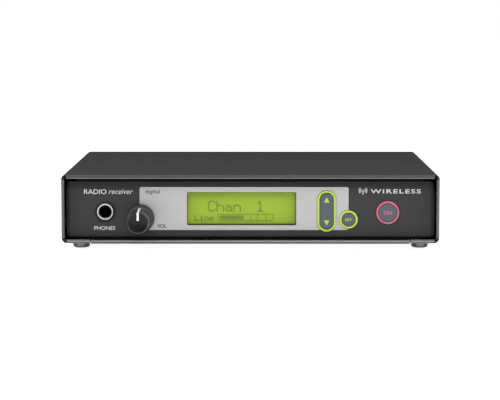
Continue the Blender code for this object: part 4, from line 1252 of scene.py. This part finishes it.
def makeRing(name, node, outer, inner, finish):
    low, high, centre = span(node)
    length, edge, lip = high.y - low.y, keySettings["ringEdge"], keySettings["ringLip"]
    profile = arc(outer - edge, length - edge, edge, 0, 90, 6)[::-1] + [(outer, 0), (inner, 0)]
    profile += arc(inner + lip, length - lip, lip, 180, 90, 5)
    place = (centre.x, high.y, centre.z)
    finishPiece(name, turnedShape(profile, forward, place, 96, True), finish, [node])


def makeRoundKey(name, node, radius, body):
    # cap, neck, retaining flange and boss, crowned a little on its face
    low, high, centre = span(node)
    step, edge, crown = (keySettings[key] for key in ("step", "edge", "crown"))
    flange, (bossRadius, boss) = (high.x - low.x) / 2, keySettings["boss"]
    length = high.y - low.y - boss
    profile = [(0, length), (radius * 0.5, length - crown * 0.25)]
    profile += arc(radius - edge, length - crown - edge, edge, 90, 0, 6)
    profile += [(radius, step), (flange, step), (flange, 0)]
    profile += [(bossRadius, 0), (bossRadius, -boss), (0, -boss)]
    shape = turnedShape(profile, forward, (centre.x, high.y - boss, centre.z), 96)
    finishPiece(name, shape, "keyGrey", [node], 30, body=body)


def arrowShape(x, z, way, face, width, height):
    # solid triangle, pointing up or down
    shape = bmesh.new()
    bmesh.ops.create_cone(
        shape, cap_ends=True, segments=3, radius1=1, radius2=1,
        depth=printSettings["thickness"], matrix=forward,
    )
    xs, zs = ([point.co[axis] for point in shape.verts] for axis in (0, 2))
    if way * next(high for side, high in zip(xs, zs) if abs(side) < 0.01) < 0:
        bmesh.ops.rotate(shape, matrix=Matrix.Rotation(math.pi, 3, "Y"), verts=shape.verts)
        zs = [-high for high in zs]
    bmesh.ops.translate(shape, vec=(0, 0, -(min(zs) + max(zs)) / 2), verts=shape.verts)
    grow = (width / (max(xs) - min(xs)), 1, height / (max(zs) - min(zs)))
    bmesh.ops.scale(shape, vec=grow, verts=shape.verts)
    bmesh.ops.translate(shape, vec=(x, face, z), verts=shape.verts)
    return shape


def bevelFront(shape, face, width):
    # rounds the edges that lie in the front face of a slot shape
    rim = [
        edge
        for edge in shape.edges
        if edge.calc_face_angle(0) > 1 and all(point.co.y < face + 0.01 for point in edge.verts)
    ]
    return bevelEdges(shape, rim, width, 5)


def makeRocker(settings):
    low, high, centre = span("rocker_ring")
    ring = standPiece("loose", stadiumShape(centre, high.x - low.x, high.z - low.z, low.y, high.y))
    carve(ring, stadiumShape(centre, *settings["slot"], low.y - 1, high.y + 1))
    shape = bevelFront(meshShape(ring.data, 1 / mm), low.y, settings["ringEdge"])
    bpy.data.objects.remove(ring, do_unlink=True)
    finishPiece("lime_slot_ring", shape, "limePlastic", ["rocker_ring"], 50)
    low, high, centre = span("rocker_key")
    width, height = high.x - low.x, high.z - low.z
    insetX, insetZ = settings["capInset"]
    cap = (centre, width - insetX, height - insetZ, low.y, low.y + settings["capDepth"])
    key = standPiece("loose", bevelFront(stadiumShape(*cap), low.y, keySettings["edge"]))
    bossRadius, boss = keySettings["boss"]
    back = high.y - boss
    carve(key, stadiumShape(centre, width, height, back - keySettings["step"], back), "UNION")
    for node in ("up_plunger", "down_plunger"):
        spot = Vector((centre.x, 0, span(node)[2].z))
        carve(key, boreShape(bossRadius, spot, high.y, back - boss, 32), "UNION")
    dressPiece(key, "rocker_cap", "keyGrey", ["rocker_key"], 50, body="rocker")
    face = low.y - keySettings["printGap"]
    for name, z in settings["arrows"].items():
        shape = arrowShape(centre.x, z, 1 if name == "up" else -1, face, *settings["arrow"])
        finishPiece(f"printed_arrow_{name}", shape, "limeInk", body="rocker")


makeRocker(rockerSettings)
roundKeys = {name: keySettings[name] for name in ("set", "power")}
for ringName, (keyName, keyRow) in zip(("lime_round_ring", "pink_round_ring"), roundKeys.items()):
    makeRing(ringName, f"{keyName}_ring", keyRow[0], keyRow[1], keyRow[3])
for keyName, keyRow in roundKeys.items():
    makeRoundKey(f"{keyName}_cap", f"{keyName}_button", keyRow[2], keyRow[-1])
for keyName, (*_, words, halfSize, keyInk, keyBody) in roundKeys.items():
    keyLow, _, keyCentre = span(f"{keyName}_button")
    keyBox = [keyCentre[axis] + way * size for axis, size in zip((0, 2), halfSize) for way in (-1, 1)]
    keyFace = keyLow.y - keySettings["printGap"]
    printText(words.lower(), words, keyBox, keyFace, keyInk, 0.12, body=keyBody)
print("keys made")

# heights in the socket under the knob are from its back
knobSettings = {
    "flutes": 36,
    "fluteDepth": 0.16,
    "steps": 288,
    "face": 5.8,
    "faceEdge": 0.38,
    "grip": 6.12,
    "gripLength": 20.4,
    "cone": 7.0,
    "hollow": (0.9, 2.4),
    "socket": (3.3, 17.0),
    "pointerWidth": 1.05,
    "pointerStart": 1.35,
    "pointerWall": (0.45, -0.8),
    "lineRise": 0.05,
}


def knobProfile(settings, length, skirt):
    face, edge, grip, cone = (settings[key] for key in ("face", "faceEdge", "grip", "cone"))
    wall, hollow = settings["hollow"]
    socket, depth = settings["socket"]
    base = length - settings["gripLength"]
    return [
        (0, length - 0.1),
        (face - edge - 0.5, length - 0.1),
        (face - edge - 0.35, length),
        (face - edge, length),
        (face, length - edge),
        (face + 0.03, length - edge - 0.7),
        (grip, base + 0.3),
        (grip - 0.25, base),
        (cone - 0.7, base - 0.25),
        (cone, base - 0.7),
        (skirt - 0.35, base - 1.5),
        (skirt, base - 2.0),
        (skirt, 0.25),
        (skirt - 0.2, 0),
        (skirt - wall, 0),
        (skirt - wall, hollow),
        (socket, hollow),
        (socket, depth),
        (0, depth),
    ]


def makeKnob(settings):
    low, high, centre = span("volume_knob")
    length, skirt = high.y - low.y - settings["lineRise"], (high.x - low.x) / 2
    profile = knobProfile(settings, length, skirt)
    shape = turnedShape(profile, upward, (0, 0, 0), settings["steps"])
    least, most = length - settings["gripLength"] + 0.2, length - settings["faceEdge"] - 0.4
    grip = [
        point
        for point in shape.verts
        if least < point.co.z < most and point.co.xy.length > settings["face"] - 0.1
    ]
    fluteShape(shape, grip, settings["flutes"], settings["fluteDepth"])
    place = Vector((centre.x, high.y, centre.z))
    aim(shape, forward, place)
    finishPiece("fluted_knob", shape, "knobPlastic", ["volume_knob"], 35, body="volume_dial")
    width = settings["pointerWidth"]
    path = [(settings["pointerStart"], length)] + profile[3:7]
    strip = bmesh.new()
    edges = strandOf(strip, [(-width / 2, radius, height) for radius, height in path])
    pushOut(strip, bmesh.ops.extrude_edge_only(strip, edges=edges), (width, 0, 0))
    bmesh.ops.recalc_face_normals(strip, faces=strip.faces)
    if max(strip.faces, key=lambda face: face.calc_area()).normal.y < 0:
        bmesh.ops.reverse_faces(strip, faces=strip.faces)
    pointer = standPiece("loose", aim(strip, forward, place))
    thicken(pointer, *settings["pointerWall"])
    dressPiece(pointer, "pointer_line", "whiteInk", [], 30, body="volume_dial", slot="knob_black")


makeKnob(knobSettings)
print("knob made")

jackSettings = {"bore": 3.2, "rim": 0.4, "sink": 1.3, "lip": (0.62, 0.78), "collar": (4.82, 0.3)}


def makePhonesJack(settings):
    low, high, centre = span("phones_ferrule")
    place = (centre.x, high.y, centre.z)
    outer, length, bore = (high.x - low.x) / 2, high.y - low.y, settings["bore"]
    rim, (step, mouth) = settings["rim"], settings["lip"]
    profile = arc(outer - rim, length - rim, rim, 0, 90, 8)[::-1] + [(outer, 0), (bore, 0)]
    profile += [(bore, length - settings["sink"]), (bore + step, length - 0.1), (bore + mouth, length)]
    shape = turnedShape(profile, forward, place, 96, True)
    finishPiece("chrome_ferrule", shape, "chromeMetal", ["phones_ferrule"])
    low, high, _ = span("phones_nut")
    outer, depth, (inner, edge) = (high.x - low.x) / 2, high.y - low.y, settings["collar"]
    profile = arc(outer - edge, depth - edge, edge, 0, 90, 4)[::-1]
    profile += [(outer, 0), (inner, 0), (inner, depth)]
    shape = turnedShape(profile, forward, (centre.x, high.y, centre.z), 96, True)
    finishPiece("black_collar", shape, "blackPlastic", ["phones_nut"])


makePhonesJack(jackSettings)
print("phones jack made")

antennaSettings = {
    "outer": 4.8,
    "inner": 4.05,
    "rim": 0.25,
    "thread": (3.4, 10, 0.6),
    "crest": 0.08,
    "root": 0.12,
    "lug": (1.0, 5.2, 0.88),
    "core": (0.6, 3.5),
    "mouth": (0.8, 2.25, 0.15),
    "sleeve": (2.4, 1.0),
    "flange": 3.75,
    "contact": (0.2, 0.55, 1.6, 1.9),
    "nutHole": 5.1,
    "nutChamfer": (0.9, 1.02, 0.72),
}


def hexNut(node, name, hole, chamfer):
    low, high, centre = span(node)
    depth, corner = high.y - low.y, (high.z - low.z) / 2
    small, large, start = chamfer
    nut = standPiece("loose", boreShape(corner, centre, low.y, high.y, 6))
    profile = [(0, depth), (corner * small, depth), (corner * large, depth * start)]
    profile += [(corner * large, 0), (0, 0)]
    limit = turnedShape(profile, backward, (centre.x, low.y, centre.z), 48)
    carve(nut, limit, "INTERSECT")
    carve(nut, boreShape(hole, centre, low.y - 1, high.y + 1, 48))
    dressPiece(nut, name, "screwSteel", [node], 30)


def makeAntennaSocket(side, settings):
    outer, inner, rim, crest = (settings[key] for key in ("outer", "inner", "rim", "crest"))
    face = rearHigh.y
    node = f"antenna_socket_{side}"
    low, high, centre = span(node)
    tip, back = high.y - face, low.y - face
    start, turns, pitch = settings["thread"]
    profile = [(outer - rim, tip), (outer, tip - rim), (outer, start + 0.2)]
    for turn in range(turns):
        y = start - turn * pitch
        profile += [(outer + crest, y), (outer - settings["root"], y - pitch / 2)]
    profile += [(outer + crest, back), (inner, back), (inner, tip - rim), (inner + rim, tip)]
    place = Vector((centre.x, face, centre.z))
    body = standPiece("loose", turnedShape(profile, backward, place, 64, True))
    radius, behind, reach = settings["lug"]
    y = high.y - behind
    for way in (-1, 1):
        ends = ((centre.x + way * away, y, centre.z) for away in (inner + 0.3, outer + reach))
        carve(body, softEdges(rodShape(radius, *ends, 24), 0.15), "UNION")
    dressPiece(body, f"bayonet_shell_{side}", "chromeMetal", [node], 30)
    node = f"antenna_insulator_{side}"
    low, high, _ = span(node)
    tip = high.y - face
    bore, depth = settings["core"]
    lip, mouth, edge = settings["mouth"]
    sleeve, shoulder = settings["sleeve"]
    core = [(0, tip - depth), (bore, tip - depth), (bore, tip - 0.2), (lip, tip), (mouth, tip)]
    core += [(sleeve, tip - edge), (sleeve, shoulder), (settings["flange"], shoulder)]
    core += [(settings["flange"], low.y - face), (0, low.y - face)]
    shape = turnedShape(core, backward, place, 48)
    finishPiece(f"white_insulator_{side}", shape, "naturalPlastic", [node])
    inner, outer, length, behind = settings["contact"]
    pin = [(inner, length), (outer, length), (outer, 0), (inner, 0)]
    shape = turnedShape(pin, backward, (centre.x, high.y - behind, centre.z), 24, True)
    finishPiece(f"centre_contact_{side}", shape, "goldPlate")
    nut = f"antenna_nut_{side}"
    hexNut(nut, f"hex_nut_{side}", settings["nutHole"], settings["nutChamfer"])


balancedSettings = {
    "corner": 3.0,
    "barrel": (11.4, 0.8),
    "bore": (9.4, 15),
    "insert": [(0, 2.3), (8.6, 2.3), (9.08, 2.0), (9.08, 0), (0, 0)],
    "pinCircle": 4,
    "pin": 1.2,
    "screwPlace": (10.2, 12.4),
    "screwHead": [(0, 0.35), (1.9, 0.35), (2.3, 0.1), (2.3, 0), (0, 0)],
    "screwCross": (2.4, 0.5, 0.25),
}


def makeBalancedSocket(settings):
    low, high, centre = span("balanced_socket")
    face, seat = high.y, rearHigh.y + 0.2
    box = boxShape((low.x, seat, low.z), (high.x, face, high.z), settings["corner"], 8)
    shell = standPiece("loose", box)
    radius, overlap = settings["barrel"]
    carve(shell, boreShape(radius, centre, low.y, seat + overlap, 72), "UNION")
    radius, depth = settings["bore"]
    carve(shell, boreShape(radius, centre, face - depth, face + 1, 72))
    shape, limit = meshShape(shell.data, merge=0.000001), math.radians(1)
    bmesh.ops.dissolve_limit(shape, angle_limit=limit, verts=shape.verts, edges=shape.edges)
    shape.to_mesh(shell.data)
    shape.free()
    dressPiece(shell, "socket_shell", "blackPlastic", ["balanced_socket"], 30, 0.3)
    low, high, _ = span("balanced_insert")
    disc = turnedShape(settings["insert"], backward, (centre.x, low.y, centre.z))
    finishPiece("socket_insert", disc, "blackPlastic", ["balanced_insert"], 30)
    radius, length = settings["pin"], high.y - low.y - 0.5
    profile = [(0, length)] + arc(0, length - radius, radius, 80, 0, 5) + [(radius, 0), (0, 0)]
    for number, (x, z) in enumerate(arc(centre.x, centre.z, settings["pinCircle"], 90, 330, 2)):
        pin = turnedShape(profile, backward, (x, low.y + 0.5, z), 32)
        finishPiece(f"socket_pin_{number + 1}", pin, "chromeMetal")
    head, (right, up) = settings["screwHead"], settings["screwPlace"]
    for way, name in ((-1, "lower"), (1, "upper")):
        place = Vector((centre.x + way * right, face - 0.25, centre.z + way * up))
        top = place + Vector((0, head[0][1], 0))
        makeScrew(f"socket_screw_{name}", head, backward, place, top, settings["screwCross"], [])


lineSettings = {
    "teeth": 40,
    "toothDepth": 0.12,
    "nutEdge": 0.3,
    "nutHole": 4.9,
    "barrel": 4.6,
    "bore": 3.2,
    "boreDepth": 23,
    "contact": (0.6, 3.0, 0.25),
    "contactRun": (18, 6),
    "contactBend": 0.35,
}


def makeLineJack(settings):
    low, high, centre = span("line_jack_nut")
    outer, depth = (high.x - low.x) / 2, high.y - low.y
    teeth, edge, hole = (settings[key] for key in ("teeth", "nutEdge", "nutHole"))
    profile = [(outer - edge, depth), (outer, depth - edge), (outer, 0), (hole, 0), (hole, depth)]
    shape = turnedShape(profile, upward, (0, 0, 0), teeth * 4, True)
    rim = [point for point in shape.verts if point.co.xy.length > outer - 0.1]
    fluteShape(shape, rim, teeth, settings["toothDepth"])
    aim(shape, backward, (centre.x, low.y, centre.z))
    finishPiece("knurled_nut", shape, "screwSteel", ["line_jack_nut"], 25)
    low, high, _ = span("line_jack")
    inside = rearLow.y - 0.3
    body = standPiece("loose", boxShape(low, (high.x, inside, high.z), 0.8))
    carve(body, boreShape(settings["barrel"], centre, inside - 2, high.y), "UNION")
    carve(body, boreShape(settings["bore"], centre, inside - settings["boreDepth"], high.y + 1))
    dressPiece(body, "line_jack_body", "blackPlastic", ["line_jack"], 30, 0.2)
    # bent contact strip inside the bore
    half, below, thickness = settings["contact"]
    front, back = (inside - away for away in settings["contactRun"])
    x, z, bend = centre.x, centre.z - below, (front + back) / 2
    strip = boxShape((x - half, front, z), (x + half, back, z + thickness))
    everything = strip.verts[:] + strip.edges[:] + strip.faces[:]
    bmesh.ops.bisect_plane(strip, geom=everything, plane_co=(0, bend, 0), plane_no=(0, 1, 0))
    chosen = [point for point in strip.verts if abs(point.co.y - bend) < 0.01]
    bmesh.ops.translate(strip, vec=(0, 0, settings["contactBend"]), verts=chosen)
    finishPiece("line_contact", strip, "goldPlate")


# mouth and key notch: left, right, depth, bottom and top from the socket's centre
dataSettings = {
    "mouth": (-4.9, 4.9, 12, -3.9, 3.5),
    "notch": (-2, 2, 11.5, -5.2, -3.5),
    "wires": 6,
    "wirePitch": 1.02,
    "wire": 0.22,
    "wireEnds": ((1.6, 3.2), (9, 0.9)),
}


def makeDataSocket(settings):
    low, high, centre = span("data_socket")
    piece = standPiece("loose", boxShape(low, high))
    for hollow in ("mouth", "notch"):
        left, right, depth, bottom, top = settings[hollow]
        start = (centre.x + left, high.y - depth, centre.z + bottom)
        carve(piece, boxShape(start, (centre.x + right, high.y + 1, centre.z + top)))
    dressPiece(piece, "data_socket_body", "blackPlastic", ["data_socket"], 30, 0.15)
    for number in range(settings["wires"]):
        x = centre.x + (number - (settings["wires"] - 1) / 2) * settings["wirePitch"]
        ends = ((x, high.y - away, centre.z + up) for away, up in settings["wireEnds"])
        finishPiece(f"data_contact_{number + 1}", rodShape(settings["wire"], *ends, 12), "goldPlate")


inletSettings = {"corner": 0.5, "bore": (3.3, 11), "pin": (1.0, 5.6, 6.3)}


def makePowerInlet(settings):
    low, high, centre = span("power_inlet")
    piece = standPiece("loose", boxShape(low, high, settings["corner"]))
    radius, depth = settings["bore"]
    carve(piece, boreShape(radius, centre, high.y - depth, high.y + 1))
    dressPiece(piece, "power_inlet_body", "blackPlastic", ["power_inlet"], 30, 0.2)
    radius, straight, length = settings["pin"]
    profile = [(0, length)] + arc(0, straight, radius, 60, 0, 4) + [(radius, 0), (0, 0)]
    pin = turnedShape(profile, backward, (centre.x, high.y - depth + 0.1, centre.z), 32)
    finishPiece("power_pin", pin, "chromeMetal")


hookSettings = {"wire": 1.0, "bend": 2.5}


def makeCableHook(settings):
    low, high, centre = span("cable_hook")
    wire, bend = settings["wire"], settings["bend"]
    top, bottom, corner = high.z - wire, low.z + wire, high.y - wire - bend
    route = [(low.y, top)] + arc(corner, top - bend, bend, 90, 0, 8)
    route += arc(corner, bottom + bend, bend, 0, -90, 8) + [(low.y, bottom)]
    curve = bpy.data.curves.new("hook", "CURVE")
    curve.dimensions = "3D"
    curve.bevel_depth, curve.bevel_resolution = wire * mm, 5
    curve.use_fill_caps = True
    spline = curve.splines.new("POLY")
    spline.points.add(len(route) - 1)
    for point, (y, z) in zip(spline.points, route):
        point.co = (centre.x * mm, y * mm, z * mm, 1)
    bent = bpy.data.objects.new("hook", curve)
    scene.collection.objects.link(bent)
    shape = meshShape(bakedMesh(bent), 1 / mm)
    bpy.data.objects.remove(bent, do_unlink=True)
    bmesh.ops.recalc_face_normals(shape, faces=shape.faces)
    finishPiece("wire_hook", shape, "screwSteel", ["cable_hook"])


# for each rear print: its words, the node that it stands over and how far above its centre
rearPrints = {
    "ant_b": ("ANT B", "antenna_socket_left", 8.6),
    "ant_a": ("ANT A", "antenna_socket_right", 8.6),
    "line": ("LINE OUT", "line_jack_nut", 9.4),
    "data": ("DATA", "data_socket", 8.6),
    "dc": ("DC IN", "power_inlet", 8.6),
}
# balanced: how far the words start and end from the socket's edge, and their heights
rearPrintSettings = {
    "halfLetter": 0.85,
    "height": 2.0,
    "weight": 0.15,
    "balanced": (2.5, 17.5, 33.0, 35.0),
}


def makeRearPrints(prints, settings):
    boxes = {}
    for name, (text, node, rise) in prints.items():
        centre, half = span(node)[2], settings["halfLetter"] * len(text)
        low = centre.z + rise
        boxes[name] = (text, (centre.x - half, centre.x + half, low, low + settings["height"]))
    start, end, low, high = settings["balanced"]
    side = span("balanced_socket")[1].x
    boxes["balanced"] = ("BAL OUT", (side + start, side + end, low, high))
    face = rearHigh.y + printSettings["lift"]
    for name, (text, box) in boxes.items():
        printText(name, text, box, face, "whiteInk", settings["weight"])


softenNode("rear_panel", "rear_plate", "casePaint", 0.08)
for socketSide in sides:
    makeAntennaSocket(socketSide, antennaSettings)
makeBalancedSocket(balancedSettings)
makeLineJack(lineSettings)
makeDataSocket(dataSettings)
makePowerInlet(inletSettings)
makeCableHook(hookSettings)
makeRearPrints(rearPrints, rearPrintSettings)
print("rear panel made")

# inner pieces keep the CAD's own shapes
innerFinishes = {
    "boardGreen": ["control_board", "main_board"],
    "cableGrey": ["ribbon_cable"],
    "tinnedSteel": ["tuner_can_left", "tuner_can_right", "lcd_bezel", "volume_pot"],
    "finAluminium": ["heat_sink"],
    "blueSleeve": ["reservoir_capacitor"],
    "screwSteel": ["pot_shaft", "pot_nut"],
    "blackPlastic": ["processor_chip", "phones_jack"],
    "naturalPlastic": [],
}
for switch in ("up", "down", "set", "power"):
    innerFinishes["blackPlastic"].append(f"{switch}_switch")
    innerFinishes["naturalPlastic"].append(f"{switch}_plunger")
for innerFinish, innerNodes in innerFinishes.items():
    for innerNode in innerNodes:
        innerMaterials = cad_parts[innerNode].data.materials
        innerMaterials.clear()
        innerMaterials.append(bpy.data.materials[innerFinish])

groundSettings = {
    "size": 12.0,
    "drop": 0.0002,
    "near": (0.25, 0.6),
    "glow": (0.9, 1.0),
    "tone": (0.02, 0.8),
    "shader": {"Emission Color": white, "Roughness": 0.9, "Specular IOR Level": 0.0},
}


def groundMaterial(settings):
    # pale sweep: evenly white far out, with soft contact shadows near the unit
    tree, shader = newMaterial("groundPale", grey(0.86), settings["shader"])
    where = objectPlace(tree)
    away = vectorNode(tree, "LENGTH", {0: where}, "Value")
    cloud = mathNode(tree, "SUBTRACT", noise(tree, where, 3.0), 0.5)
    tone = mathNode(tree, "MULTIPLY_ADD", cloud, *settings["tone"])
    colour = addNode(tree, "CombineColor", {0: tone, 1: tone, 2: tone}).outputs[0]
    tree.links.new(colour, shader["Base Color"])
    glow = mapRange(tree, away, *settings["near"], *settings["glow"])
    tree.links.new(glow, shader["Emission Strength"])


def makeGround(settings):
    shape = bmesh.new()
    bmesh.ops.create_grid(shape, x_segments=1, y_segments=1, size=settings["size"] / 2)
    mesh = bpy.data.meshes.new("ground")
    shape.to_mesh(mesh)
    shape.free()
    ground = bpy.data.objects.new("ground", mesh)
    ground.location.z = -settings["drop"]
    scene.collection.objects.link(ground)
    groundMaterial(settings)
    mesh.materials.append(bpy.data.materials["groundPale"])


makeGround(groundSettings)
